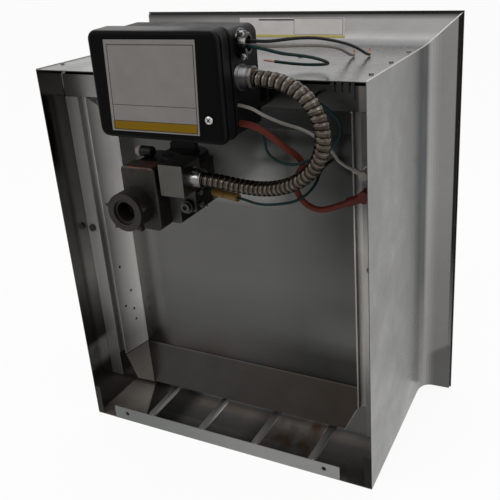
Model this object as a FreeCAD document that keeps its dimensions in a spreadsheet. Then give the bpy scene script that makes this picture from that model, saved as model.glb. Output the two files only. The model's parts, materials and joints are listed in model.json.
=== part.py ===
import FreeCAD, Part
import Sketcher
import math
import os
import re
from FreeCAD import Vector, Placement, Rotation

# Infrared unit heater with a flared sheet shell, a ceramic tile burner and its gas and ignition controls.
# Lengths are in millimetres and angles in degrees. Local frame of every piece: the centre of the rear rim,
# X to the right seen from the rear, Y towards the radiant mouth, Z up.

DIMENSIONS = {
    # shell
    "side_space": 20,
    "end_space": 73,
    "sheet": 0.9,
    "taper": 2,
    "flare": 34,
    "straight_depth": 217,
    "flare_radius": 72,
    "lip_run": 26.2,
    "hem": 6,
    "tab_width": 10,
    "tab_height": 48,
    "hanger_flange_half": 180,
    "hanger_flange_height": 21,
    "hanger_hole_height": 12,
    "hanger_spacing": 316,
    "hanger_offset": -5.5,
    "hanger_hole_radius": 3.3,
    "bead_pitch": 87,
    "bead_start": 16,
    "bead_end": 168,
    "bead_width": 13,
    "bead_height": 4,
    "bead_slope": 35,
    "bead_wall": 0.8,
    "rivet_radius": 2.6,
    "rivet_height": 1.5,
    "rivet_start": 40,
    "rivet_pitch": 72,
    "rivet_inset": 8,
    "rivet_lift": 0.15,
    # rear shields
    "shield_gap": 0.3,
    "shield_y": 43,
    "shield_drop": 44,
    "shield_rise": 47.5,
    "flange_width": 19.8,
    "groove_width": 10,
    "groove_depth": 9,
    "wall_step": 1.8,
    "wall_lean": 8.1,
    "wall_lean_right": 0.6,
    "foot_width": 11,
    "top_flange_gap": 0.8,
    "top_flange_drop": 14.5,
    "top_web_inset": 10,
    "deflector_inset": 13.5,
    "deflector_gap": 30.5,
    "deflector_reach": 22.6,
    "deflector_mitre": 19,
    "gusset_gap": 1,
    "comb_width": 33,
    "comb_inset": 26,
    "comb_low": 13.5,
    "comb_height": 19,
    "comb_chamfer": 7,
    "comb_slot": 2.2,
    "comb_slot_depth": 11,
    "comb_slot_pitch": 8.5,
    "screw_radius": 5,
    "screw_height": 3,
    "screw_shank": 2,
    "screw_length": 9,
    "screw_clearance": 0.3,
    "wall_hole_y": 57,
    "wall_hole_z": -35,
    "wall_hole_radius": 2.2,
    "shield_screw_inset": 9.8,
    "shield_screw_z": 30,
    # burner
    "plenum_y": 90,
    "plenum_depth": 60,
    "plenum_sheet": 1.2,
    "plenum_corner": 12,
    "tile_length": 127,
    "tile_width": 89,
    "tile_thick": 13,
    "tile_bar": 3,
    "tile_border": 5,
    "frame_sheet": 1.2,
    "frame_gap": 0.1,
    "frame_skirt": 12,
    "frame_lip": 4,
    "rack_inset": 6.8,
    "rack_sheet": 1.2,
    "rack_end": 9.5,
    "rack_height": 22,
    "rack_foot": 6,
    "rod_count": 14,
    "rod_pitch": 25,
    "rod_radius": 3,
    "rod_clearance": 0.3,
    "rod_overhang": 3.8,
    "rod_stand": 13,
    # gas way into the plenum; the valve and its fittings count Y from their own plane
    "valve_reach": 90,
    "outlet_x": -60,
    "outlet_z": 96,
    "air_hole_radius": 19,
    "venturi_flange_radius": 30,
    "venturi_mouth_radius": 21,
    "venturi_throat_radius": 13,
    "venturi_end_radius": 18,
    "venturi_throat_at": 20,
    "venturi_length": 45,
    "nipple_radius": 10.5,
    "nipple_bore": 6,
    "nipple_length": 8,
    "spud_radius": 7,
    "spud_hex_radius": 12,
    "spud_hex_length": 4,
    "spud_length": 13,
    "spud_bore": 1.6,
    "bridge_depth": 10,
    "bridge_sheet": 1.5,
    "bridge_half_width": 17,
    "bridge_half_height": 26,
    "bridge_foot": 8,
    "bridge_clearance": 0.3,
    # spark and sensor electrodes
    "electrode_inset": 9.8,
    "spark_z": 128,
    "sensor_z": 153,
    "insulator_radius": 4,
    "insulator_bore": 1.6,
    "insulator_back": 12,
    "collar_radius": 6,
    "collar_length": 6,
    "electrode_hole": 4.4,
    "electrode_wire": 2.4,
    "electrode_tail": 8,
    "electrode_clear": 27.8,
    "electrode_bend": 30,
    "electrode_gap": 3.8,
    "boot_radius": 7,
    "boot_cap": 12,
    "boot_grip": 5,
    "boot_bore": 4.3,
    "boot_stub_radius": 5.2,
    "boot_stub_back": 6.4,
    "boot_stub_length": 22,
    "boot_stub_drop": 25,
    "terminal_radius": 5.2,
    "terminal_stub_radius": 3,
    "terminal_stub_length": 14,
    "terminal_stub_drop": -20,
    # control box; heights count from the bend of the top shield
    "box_left": -55,
    "box_right": 102,
    "box_low": -5.4,
    "box_high": 107.6,
    "base_drop": 5,
    "box_front": 90,
    "box_seam": 63,
    "box_back": 9,
    "box_corner": 10,
    "box_wall": 3,
    "seam_gap": 0.2,
    "ridge": 1.3,
    "ridge_width": 3.5,
    "ridge_front_y": 83,
    "cover_round": 5,
    "cover_screw_x": 86,
    "cover_screw_z": 20.6,
    "cover_screw_radius": 4.6,
    "cover_screw_head": 2.5,
    "cover_screw_shank": 2,
    "counterbore_radius": 5.4,
    "counterbore_depth": 3,
    "cover_boss_radius": 8,
    "cover_boss_depth": 5,
    "post_radius": 5,
    "post_hole": 2.2,
    "ignition_exit_y": 57,
    "ignition_exit_z": 9.6,
    "sensor_exit_y": 58,
    "sensor_exit_z": 28.6,
    "ground_exit_y": 46,
    "ground_exit_z": 7,
    "ignition_hole": 4,
    "sensor_hole": 2.2,
    "ground_hole": 2,
    "board_left": -44,
    "board_right": 66,
    "board_low": 39,
    "board_high": 97,
    "board_thick": 1.6,
    "standoff_radius": 3,
    "standoff_height": 9,
    "standoff_inset": 6,
    "transformer_width": 48,
    "transformer_height": 36,
    "transformer_depth": 38,
    "bracket_left": -40,
    "bracket_right": 85,
    "bracket_low": 4.6,
    "bracket_high": 82.6,
    "bracket_sheet": 1.5,
    "bracket_foot": 21,
    "bracket_screw_inset": 20,
    "bracket_screw_z": 15.6,
    # connectors and conduit
    "clamp_y": 44,
    "clamp_z": 88,
    "entry_y": 49,
    "entry_z": 55,
    "neck_radius": 10.5,
    "neck_clearance": 0.3,
    "neck_inside": 8,
    "clamp_flange_radius": 14,
    "clamp_flange": 3.5,
    "clamp_length": 17,
    "clamp_half_width": 14,
    "clamp_half_height": 10,
    "clamp_bore": 6.5,
    "clamp_split": 1,
    "clamp_screw_y": 10,
    "clamp_screw_radius": 3.2,
    "clamp_screw_head": 2.6,
    "clamp_screw_shank": 1.7,
    "fitting_flange_radius": 13.5,
    "fitting_flange": 3,
    "fitting_radius": 12,
    "fitting_length": 14,
    "fitting_socket": 10,
    "fitting_bore": 6.5,
    "fitting_round": 2.5,
    "conduit_diameter": 17.5,
    "conduit_valley": 14.9,
    "conduit_bore": 12.5,
    "conduit_pitch": 6.8,
    "conduit_clearance": 0.3,
    # gas valve
    "inlet_x": -78,
    "inlet_z": 100,
    "inlet_left": -97,
    "inlet_right": -46,
    "inlet_low": 68,
    "inlet_high": 150,
    "inlet_front": 15,
    "inlet_face": 42,
    "valve_start": 10,
    "inlet_round": 6,
    "inlet_boss_radius": 24.5,
    "inlet_bore": 12.7,
    "inlet_depth": 23,
    "inlet_mouth": 16,
    "inlet_mouth_depth": 3,
    "gas_way": 8,
    "ear_tip": 31,
    "ear_root": 22,
    "ear_start": 39,
    "ear_thick": 7,
    "valve_left": -86,
    "valve_keel_right": -31,
    "valve_low": 71,
    "valve_mid": 89,
    "valve_right": -7,
    "valve_deck": 119,
    "valve_end": 72,
    "valve_mid_end": 62,
    "tower_left": -100,
    "tower_right": -14,
    "tower_start": 24,
    "tower_top": 143,
    "valve_round": 3,
    "outlet_boss_radius": 16,
    "outlet_boss": 6,
    "plug_x": -18,
    "plug_z": 97,
    "plug_boss_radius": 8.5,
    "plug_boss": 6,
    "plug_radius": 6.3,
    "plug_height": 4,
    "plug_socket": 3.2,
    "valve_screw_radius": 3.6,
    "valve_screw_height": 2.6,
    "valve_screw_socket": 1.8,
    "junction_left": -36,
    "junction_right": -3,
    "junction_top": 158,
    "junction_half": 20,
    "junction_wall": 1.4,
    "junction_round": 1,
    "valve_entry_z": 138,
    "cover_x": -44,
    "cover_y": 52,
    "cover_radius": 30,
    "cover_height": 8,
    "knob_radius": 19,
    "knob_height": 12,
    "knob_gap": 0.4,
    "knob_grip": 7,
    "knob_grip_height": 7,
    "spindle_radius": 4,
    "spindle_gap": 0.05,
    "spindle_depth": 6,
    "nut_x": -112,
    "nut_y": 44,
    "nut_radius": 7,
    "nut_tip_radius": 5,
    "nut_length": 26,
    "nut_cap": 3,
    # wires
    "ignition_diameter": 7,
    "sensor_diameter": 3.6,
    "ground_diameter": 3.2,
    "valve_ground_diameter": 3.2,
    "lead_diameter": 3.4,
    "splice_radius": 5,
    "splice_length": 21,
    "splice_offset": 4,
    "splice_gap": 1.5,
    "splice_clearance": 0.4,
}

doc = FreeCAD.newDocument("UnitHeater")
sizes = doc.addObject("Spreadsheet::Sheet", "Sizes")
for row, (name, value) in enumerate(DIMENSIONS.items(), 1):
    sizes.set("A%d" % row, name)
    sizes.set("B%d" % row, str(value))
    sizes.setAlias("B%d" % row, name)
doc.recompute()


def bind(text):
    """Expression of the sheet for a formula written with the bare names of the sizes."""

    def cell(found):
        name = found.group()
        return "Sizes." + name if name in DIMENSIONS else name

    return re.sub(r"[a-z_]\w*", cell, text)


def number(text):
    """Present value of a formula."""
    result = sizes.evalExpression(bind(text))
    return float(getattr(result, "Value", result))


def minus(text):
    return "-(%s)" % text


# Tile field and plenum, which set the size of the shell
TILES_X = "((3 * tile_length + 2 * tile_bar) / 2)"
TILES_Z = "((4 * tile_width + 3 * tile_bar) / 2)"
PLENUM_X = "(%s + tile_border)" % TILES_X
PLENUM_Z = "(%s + tile_border)" % TILES_Z
PLENUM_END = "(plenum_y + plenum_depth)"
TILE_FACE = "(%s + tile_thick)" % PLENUM_END
HALF_W = "(%s + side_space)" % PLENUM_X
HALF_H = "(%s + end_space)" % PLENUM_Z
FLOOR = "(-%s)" % HALF_H

# Shell profile: depth u and outward offset v of the outer and inner skins, from the rear rim to the lip.
TAPER = "(taper * 1 deg)"
FLARE = "(flare * 1 deg)"
ARC_V = "(-straight_depth * tan(%s))" % TAPER
CENTRE_U = "(straight_depth + flare_radius * sin(%s))" % TAPER
CENTRE_V = "(%s + flare_radius * cos(%s))" % (ARC_V, TAPER)
BEND_U = "(%s + flare_radius * sin(%s))" % (CENTRE_U, FLARE)
BEND_V = "(%s - flare_radius * cos(%s))" % (CENTRE_V, FLARE)
LIP_U = "(%s + lip_run)" % BEND_U
LIP_V = "(%s + lip_run * tan(%s))" % (BEND_V, FLARE)
SHELL_DEPTH = "(%s + hem)" % LIP_U
INNER_RUN = "((%s - %s - sheet + sheet * cos(%s)) / sin(%s))" % (LIP_V, BEND_V, FLARE, FLARE)
PROFILE = (
    ("0", "0"),
    ("straight_depth", ARC_V),
    (BEND_U, BEND_V),
    (LIP_U, LIP_V),
    (SHELL_DEPTH, LIP_V),
    (SHELL_DEPTH, "(%s - sheet)" % LIP_V),
    ("(%s + sheet * sin(%s) + %s * cos(%s))" % (BEND_U, FLARE, INNER_RUN, FLARE), "(%s - sheet)" % LIP_V),
    ("(%s + sheet * sin(%s))" % (BEND_U, FLARE), "(%s - sheet * cos(%s))" % (BEND_V, FLARE)),
    ("(straight_depth - sheet * sin(%s))" % TAPER, "(%s - sheet * cos(%s))" % (ARC_V, TAPER)),
    ("0", "(-sheet / cos(%s))" % TAPER),
)
OUTER_ARC = 1
INNER_ARC = 7

# Placement of the local frame: the whole stands on its lower lip, centred under its bounding box.
REAR_Y = "((box_front - %s) / 2)" % SHELL_DEPTH
LIFT = "(%s + %s)" % (HALF_H, LIP_V)

nodes = []


def place(obj, x="0", y="0", z="0"):
    obj.setExpression("Placement.Base.x", bind(x))
    obj.setExpression("Placement.Base.y", bind("%s + %s" % (REAR_Y, y)))
    obj.setExpression("Placement.Base.z", bind("%s + %s" % (LIFT, z)))


def new_body(label, x="0", y="0", z="0"):
    body = doc.addObject("PartDesign::Body", label)
    body.Label = label
    place(body, x, y, z)
    nodes.append(body)
    return body


def new_sketch(body, plane, offset="0", tilt=None):
    sketch = body.newObject("Sketcher::SketchObject", body.Label + "_sketch")
    support = [item for item in body.Origin.OriginFeatures if item.Role == plane + "_Plane"][0]
    sketch.AttachmentSupport = [(support, "")]
    sketch.MapMode = "FlatFace"
    if tilt:
        sketch.AttachmentOffset = Placement(Vector(), Rotation(Vector(1, 0, 0), number(tilt)))
        sketch.setExpression("AttachmentOffset.Rotation.Angle", bind(tilt))
    sketch.setExpression("AttachmentOffset.Base.z", bind(offset))
    return sketch


def fix(sketch, kind, *what):
    """Dimension of a sketch, tied to its formula."""
    text = what[-1]
    index = sketch.addConstraint(Sketcher.Constraint(kind, *what[:-1], number(text)))
    sketch.setExpression("Constraints[%d]" % index, bind(text))


def loop(sketch, corners, arcs={}):
    """Closed outline; arcs gives the centre and radius for the sides that are round."""
    points = [Vector(number(x), number(y), 0) for x, y in corners]
    sides = []
    for i, start in enumerate(points):
        end = points[(i + 1) % len(points)]
        first, last = 1, 2
        if i in arcs:
            x, y, radius = arcs[i]
            centre = Vector(number(x), number(y), 0)
            if (start - centre).cross(end - centre).z < 0:
                start, end = end, start
                first, last = 2, 1
            low = math.atan2(start.y - centre.y, start.x - centre.x)
            high = math.atan2(end.y - centre.y, end.x - centre.x)
            if high < low:
                high += 2 * math.pi
            circle = Part.Circle(centre, Vector(0, 0, 1), number(radius))
            index = sketch.addGeometry(Part.ArcOfCircle(circle, low, high))
            fix(sketch, "Radius", index, radius)
        else:
            index = sketch.addGeometry(Part.LineSegment(start, end))
        sides.append((index, first, last))
    for i, (index, first, last) in enumerate(sides):
        before, _, before_last = sides[i - 1]
        sketch.addConstraint(Sketcher.Constraint("Coincident", before, before_last, index, first))
        fix(sketch, "DistanceX", -1, 1, index, first, corners[i][0])
        fix(sketch, "DistanceY", -1, 1, index, first, corners[i][1])


def rectangle(sketch, x0, y0, x1, y1):
    loop(sketch, [(x0, y0), (x1, y0), (x1, y1), (x0, y1)])


def rounded(sketch, x0, y0, x1, y1, radius):
    xa, xb = "%s + %s" % (x0, radius), "%s - (%s)" % (x1, radius)
    ya, yb = "%s + %s" % (y0, radius), "%s - (%s)" % (y1, radius)
    corners = [(xa, y0), (xb, y0), (x1, ya), (x1, yb), (xb, y1), (xa, y1), (x0, yb), (x0, ya)]
    arcs = {1: (xb, ya, radius), 3: (xb, yb, radius), 5: (xa, yb, radius), 7: (xa, ya, radius)}
    loop(sketch, corners, arcs)


def slot(sketch, x, low, high, half):
    ya, yb = "%s + %s" % (low, half), "%s - (%s)" % (high, half)
    xa, xb = "%s - (%s)" % (x, half), "%s + %s" % (x, half)
    # each round end is drawn as two quarter circles, so no side turns by half a circle
    corners = [(xb, ya), (xb, yb), (x, high), (xa, yb), (xa, ya), (x, low)]
    arcs = {1: (x, yb, half), 2: (x, yb, half), 4: (x, ya, half), 5: (x, ya, half)}
    loop(sketch, corners, arcs)


def disc(sketch, x, y, radius):
    centre = Vector(number(x), number(y), 0)
    index = sketch.addGeometry(Part.Circle(centre, Vector(0, 0, 1), number(radius)))
    fix(sketch, "DistanceX", -1, 1, index, 3, x)
    fix(sketch, "DistanceY", -1, 1, index, 3, y)
    fix(sketch, "Radius", index, radius)


def hexagon(sketch, x, y, radius):
    corners = []
    for i in range(6):
        angle = "(%d deg)" % (60 * i)
        corners.append(("%s + %s * cos%s" % (x, radius, angle), "%s + %s * sin%s" % (y, radius, angle)))
    loop(sketch, corners)


def add(body, plane, low, high, draw):
    """Pad between two places along the normal axis of the plane (Z, Y or X)."""
    sketch = new_sketch(body, plane, minus(high) if plane == "XZ" else low)
    draw(sketch)
    pad = body.newObject("PartDesign::Pad", body.Label + "_pad")
    pad.Profile = sketch
    pad.setExpression("Length", bind("%s - (%s)" % (high, low)))
    sketch.Visibility = False
    body.Tip = pad
    return pad


def cut(body, plane, low, high, draw):
    """Pocket between two places along the normal axis of the plane; its volume is compared later."""
    sketch = new_sketch(body, plane, minus(low) if plane == "XZ" else high)
    draw(sketch)
    pocket = body.newObject("PartDesign::Pocket", body.Label + "_pocket")
    pocket.Profile = sketch
    pocket.setExpression("Length", bind("%s - (%s)" % (high, low)))
    sketch.Visibility = False
    body.Tip = pocket
    cuts.append((body, pocket))
    return pocket


def round_edges(body, radius, chosen):
    """Fillet on the edges of the present tip that the test picks."""
    doc.recompute()
    tip = body.Tip
    names = ["Edge%d" % i for i, edge in enumerate(tip.Shape.Edges, 1) if chosen(edge)]
    fillet = body.newObject("PartDesign::Fillet", body.Label + "_fillet")
    fillet.Base = (tip, names)
    fillet.setExpression("Radius", bind(radius))
    body.Tip = fillet
    return fillet


def edge_at(axis, text):
    """Test for edges that lie in one plane square to an axis of the body."""
    level = number(text)

    def test(edge):
        box = edge.BoundBox
        low = (box.XMin, box.YMin, box.ZMin)[axis]
        high = (box.XMax, box.YMax, box.ZMax)[axis]
        return abs(low - level) < 1e-4 and abs(high - level) < 1e-4

    return test


def revolve(body, corners):
    """Turned piece about the Y axis of its body; corners are (radius, y)."""
    sketch = new_sketch(body, "XY")
    loop(sketch, corners)
    turned = body.newObject("PartDesign::Revolution", body.Label + "_turned")
    turned.Profile = sketch
    turned.ReferenceAxis = (sketch, ["V_Axis"])
    turned.Angle = 360
    sketch.Visibility = False
    body.Tip = turned
    return turned


cuts = []

# Shell panels, mitred at the four corners
REACH = "(%s + 8)" % LIP_V
INSIDE = "20"


def shell_panel(label, plane, side):
    body = new_body(label)
    half, length = (HALF_W, HALF_H) if plane == "XY" else (HALF_H, HALF_W)

    def spot(u, v):
        across = "%d * (%s + %s)" % (side, half, v)
        return (across, u) if plane == "XY" else (u, across)

    def skin(sketch):
        arcs = {
            OUTER_ARC: spot(CENTRE_U, CENTRE_V) + ("flare_radius",),
            INNER_ARC: spot(CENTRE_U, CENTRE_V) + ("(flare_radius + sheet)",),
        }
        loop(sketch, [spot(u, v) for u, v in PROFILE], arcs)

    add(body, plane, minus("%s + %s" % (length, REACH)), "%s + %s" % (length, REACH), skin)

    def mitres(sketch):
        for end in (1, -1):
            near = ("%d * (%s - %s)" % (side, half, INSIDE), "%d * (%s - %s)" % (end, length, INSIDE))
            far = ("%d * (%s + %s)" % (side, half, REACH), "%d * (%s + %s)" % (end, length, REACH))
            beyond = (near[0], "%d * (%s + %s + 2)" % (end, length, REACH))
            outer = (far[0], beyond[1])
            corners = [near, far, outer, beyond]
            if plane == "YZ":
                corners = [(b, a) for a, b in corners]
            loop(sketch, corners)

    cut(body, "XZ", "-1", "%s + 1" % SHELL_DEPTH, mitres)
    return body


shell_panel("shell_top_panel", "YZ", 1)

bottom = shell_panel("shell_bottom_panel", "YZ", -1)


def hanger_strip(sketch):
    rectangle(sketch, "hanger_offset - hanger_flange_half", FLOOR,
              "hanger_offset + hanger_flange_half", "%s + hanger_flange_height" % FLOOR)


def hanger_holes(sketch):
    for side in (-1, 1):
        x = "hanger_offset + %d * hanger_spacing / 2" % side
        disc(sketch, x, "%s + hanger_hole_height" % FLOOR, "hanger_hole_radius")


add(bottom, "XZ", "0", "sheet", hanger_strip)
cut(bottom, "XZ", "-1", "sheet + 1", hanger_holes)


def beads(body, offset, inset, height, kind):
    """Row of pressed beads along the sloping floor, as pad on its inner or pocket on its outer skin."""
    sketch = new_sketch(body, "XY", offset, "taper")
    for i in range(4):
        x = "(hanger_offset + (%g) * bead_pitch)" % (i - 1.5)
        slot(sketch, x, "bead_start + %s" % inset, "bead_end - %s" % inset, "bead_width / 2 - %s" % inset)
    feature = body.newObject("PartDesign::" + kind, body.Label + "_beads")
    feature.Profile = sketch
    feature.setExpression("Length", bind(height))
    feature.setExpression("TaperAngle", bind("-bead_slope"))
    if kind == "Pocket":
        feature.Reversed = True
        cuts.append((body, feature))
    body.Tip = feature


beads(bottom, "%s + sheet / cos(%s) - 0.2" % (FLOOR, TAPER), "0", "bead_height + 0.2", "Pad")
beads(bottom, FLOOR, "bead_wall", "bead_height", "Pocket")

for label, side in (("shell_left_panel", -1), ("shell_right_panel", 1)):
    panel = shell_panel(label, "XY", side)

    def rear_tab(sketch):
        inner, outer = "%s - tab_width" % HALF_W, "%s - sheet / 2" % HALF_W
        if side < 0:
            inner, outer = minus(outer), minus(inner)
        rectangle(sketch, inner, "%s + 2 * sheet" % FLOOR, outer, "%s + tab_height" % FLOOR)

    add(panel, "XZ", "0", "sheet", rear_tab)

# Rivets of the corner seams, three at each end of the top and bottom panels
rivets = new_body("seam_rivets")
for i in range(3):
    deep = "(rivet_start + %d * rivet_pitch)" % i
    drop = "(%s - rivet_radius) * tan(%s)" % (deep, TAPER)
    for side in (1, -1):

        def heads(sketch):
            for end in (1, -1):
                x = "%d * (%s - rivet_inset - %s * tan(%s))" % (end, HALF_W, deep, TAPER)
                disc(sketch, x, deep, "rivet_radius")

        base = "(%s - %s + rivet_lift)" % (HALF_H, drop)
        if side > 0:
            add(rivets, "XY", base, "%s + rivet_height" % base, heads)
        else:
            add(rivets, "XY", "%s - rivet_height" % minus(base), minus(base), heads)

# Side shields: flange at the shell wall, groove, slanting wall and foot on the plenum
WALL_X = "(%s - sheet / cos(%s) - shield_y * tan(%s) - shield_gap)" % (HALF_W, TAPER, TAPER)
SHIELD_REAR = "(shield_y - sheet)"
SHIELD_TOP = "(%s - shield_drop)" % HALF_H
SHIELD_BOTTOM = "(%s + shield_rise)" % FLOOR
FOOT_Y = "(plenum_y - sheet)"
GROOVE_OUTER = "(%s - flange_width)" % WALL_X
GROOVE_INNER = "(%s - groove_width)" % GROOVE_OUTER
WALL_TOP = "(%s - wall_step)" % GROOVE_INNER
WALL_FOOT = "(%s - wall_lean)" % WALL_TOP
FEET = {-1: WALL_FOOT, 1: "(%s - wall_lean_right)" % WALL_TOP}
LEAF_Z = "(deflector_inset - %s)" % PLENUM_Z
CREST = "(shield_y + sheet)"
SCREW_X = "(%s - shield_screw_inset)" % WALL_X
ELECTRODE_X = "(%s - electrode_inset)" % WALL_X
for label, side in (("left_shield", -1), ("right_shield", 1)):
    shield = new_body(label)
    foot = FEET[side]

    def section(sketch):
        groove = "(%s + groove_depth)" % SHIELD_REAR
        path = [
            (WALL_X, SHIELD_REAR),
            (GROOVE_OUTER, SHIELD_REAR),
            (GROOVE_OUTER, groove),
            (GROOVE_INNER, groove),
            (GROOVE_INNER, CREST),
            (WALL_TOP, CREST),
            (foot, FOOT_Y),
            (foot, "plenum_y"),
            ("%s + foot_width" % foot, "plenum_y"),
            ("%s + foot_width" % foot, FOOT_Y),
            ("%s + sheet" % foot, FOOT_Y),
            ("%s - sheet" % GROOVE_INNER, "%s + sheet" % CREST),
            ("%s - sheet" % GROOVE_INNER, "%s + sheet" % groove),
            ("%s + sheet" % GROOVE_OUTER, "%s + sheet" % groove),
            ("%s + sheet" % GROOVE_OUTER, "shield_y"),
            (WALL_X, "shield_y"),
        ]
        loop(sketch, [("%d * (%s)" % (side, x), y) for x, y in path])

    add(shield, "XY", SHIELD_BOTTOM, SHIELD_TOP, section)

    def below_wall(sketch):
        inner, outer = "%s - 1" % foot, "%s + sheet" % GROOVE_OUTER
        if side < 0:
            inner, outer = minus(outer), minus(inner)
        rectangle(sketch, inner, "%s - 1" % SHIELD_BOTTOM, outer, LEAF_Z)

    cut(shield, "XZ", "%s - 1" % SHIELD_REAR, "plenum_y + 1", below_wall)

    def flange_holes(sketch):
        disc(sketch, "%d * %s" % (side, SCREW_X), "shield_screw_z", "screw_shank + screw_clearance")
        if side > 0:
            disc(sketch, ELECTRODE_X, "spark_z", "electrode_hole")
            disc(sketch, ELECTRODE_X, "sensor_z", "electrode_hole")

    cut(shield, "XZ", "shield_y - 2", "shield_y + 1", flange_holes)

    def wall_holes(sketch):
        for y, z in (("wall_hole_y", "wall_hole_z"), ("wall_hole_y + 14", "wall_hole_z - 44"),
                     ("wall_hole_y", "wall_hole_z - 64"), ("wall_hole_y + 15", "wall_hole_z - 75"),
                     ("wall_hole_y + 16", "wall_hole_z - 93")):
            disc(sketch, y, z, "wall_hole_radius")

    if side < 0:
        cut(shield, "YZ", minus("%s - 2 * sheet" % GROOVE_INNER), minus("%s - 1" % WALL_FOOT), wall_holes)

# Top shield: wide flange, slanting web and foot
top_shield = new_body("top_shield")
BEND_Z = "(%s + sheet)" % SHIELD_TOP
WEB_Z = "(%s - top_web_inset)" % PLENUM_Z
TOP_HALF = "(%s - top_flange_gap)" % WALL_X


def top_strip(sketch):
    rectangle(sketch, minus(TOP_HALF), BEND_Z, TOP_HALF, "%s - top_flange_drop" % HALF_H)


def top_section(sketch):
    path = [
        (SHIELD_REAR, "%s + 2 * sheet" % BEND_Z),
        (SHIELD_REAR, BEND_Z),
        (FOOT_Y, WEB_Z),
        ("plenum_y", WEB_Z),
        ("plenum_y", "%s + foot_width" % WEB_Z),
        (FOOT_Y, "%s + foot_width" % WEB_Z),
        (FOOT_Y, "%s + 1.3 * sheet" % WEB_Z),
        ("shield_y", "%s + 0.5 * sheet" % BEND_Z),
        ("shield_y", "%s + 2 * sheet" % BEND_Z),
    ]
    loop(sketch, path)


def top_sides(sketch):
    for side in (-1, 1):
        corners = [
            ("%s - shield_gap" % FEET[side], "%s - 1" % WEB_Z),
            ("%s - 1.6 * sheet" % WALL_TOP, BEND_Z),
            ("%s + foot_width" % WALL_TOP, BEND_Z),
            ("%s + foot_width" % WALL_TOP, "%s - 1" % WEB_Z),
        ]
        loop(sketch, [("%d * (%s)" % (side, x), z) for x, z in corners])


def bracket_spots(sketch, datum, radius):
    """The two screw places of the box bracket, counted from the bend of the top shield."""
    for x in ("bracket_left + bracket_screw_inset", "bracket_right - bracket_screw_inset"):
        disc(sketch, x, "%s + bracket_screw_z" % datum, radius)


SCREW_HOLE = "screw_shank + screw_clearance"
add(top_shield, "XZ", SHIELD_REAR, "shield_y", top_strip)
add(top_shield, "YZ", minus(WALL_TOP), WALL_TOP, top_section)
cut(top_shield, "XZ", "shield_y + 0.1", "plenum_y + 1", top_sides)
cut(top_shield, "XZ", "shield_y - 2", "shield_y + 1",
    lambda sketch: bracket_spots(sketch, BEND_Z, SCREW_HOLE))

# Slotted wire comb on the right end of the top flange
comb = new_body("wire_comb")
COMB_END = "(%s - comb_inset)" % WALL_X
COMB_START = "(%s - comb_width)" % COMB_END
COMB_LOW = "(%s + comb_low)" % BEND_Z
COMB_TOP = "(%s + comb_height)" % COMB_LOW


def comb_plate(sketch):
    loop(sketch, [
        (COMB_START, COMB_LOW),
        (COMB_END, COMB_LOW),
        (COMB_END, COMB_TOP),
        ("%s + comb_chamfer" % COMB_START, COMB_TOP),
        (COMB_START, "%s - comb_chamfer" % COMB_TOP),
    ])


def comb_slots(sketch):
    for i in range(3):
        x = "(%s - (%d + 0.6) * comb_slot_pitch)" % (COMB_END, i)
        rectangle(sketch, "%s - comb_slot / 2" % x, "%s - comb_slot_depth" % COMB_TOP,
                  "%s + comb_slot / 2" % x, "%s + 1" % COMB_TOP)


add(comb, "XZ", "%s - 1.5 * sheet" % SHIELD_REAR, SHIELD_REAR, comb_plate)
cut(comb, "XZ", "%s - 2 * sheet" % SHIELD_REAR, "%s + 1" % SHIELD_REAR, comb_slots)

# Bottom deflector above the flue gap
deflector = new_body("bottom_deflector")
EDGE_Y = "(%s - deflector_reach)" % FOOT_Y
EDGE_Z = "(%s + deflector_gap)" % FLOOR
EDGE_HALF = "(%s - gusset_gap - deflector_mitre)" % WALL_FOOT


def deflector_section(sketch):
    path = [
        (FOOT_Y, LEAF_Z),
        (EDGE_Y, EDGE_Z),
        ("%s + sheet" % EDGE_Y, "%s - 0.4 * sheet" % EDGE_Z),
        (FOOT_Y, "%s - 2.4 * sheet" % LEAF_Z),
        (FOOT_Y, "%s - foot_width" % LEAF_Z),
        ("plenum_y", "%s - foot_width" % LEAF_Z),
        ("plenum_y", LEAF_Z),
    ]
    loop(sketch, path)


def deflector_mitres(sketch):
    for side in (-1, 1):
        half = "%s - gusset_gap" % FEET[side]
        corners = [
            (half, "%s + 1" % LEAF_Z),
            (half, LEAF_Z),
            (EDGE_HALF, "%s - sheet" % EDGE_Z),
            ("%s + 1" % half, "%s - sheet" % EDGE_Z),
            ("%s + 1" % half, "%s + 1" % LEAF_Z),
        ]
        loop(sketch, [("%d * (%s)" % (side, x), z) for x, z in corners])


add(deflector, "YZ", "gusset_gap - %s" % FEET[-1], "%s - gusset_gap" % FEET[1], deflector_section)
cut(deflector, "XZ", "%s - 1" % EDGE_Y, "plenum_y + 1", deflector_mitres)


def sized(*texts):
    return [number(text) for text in texts]


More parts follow.
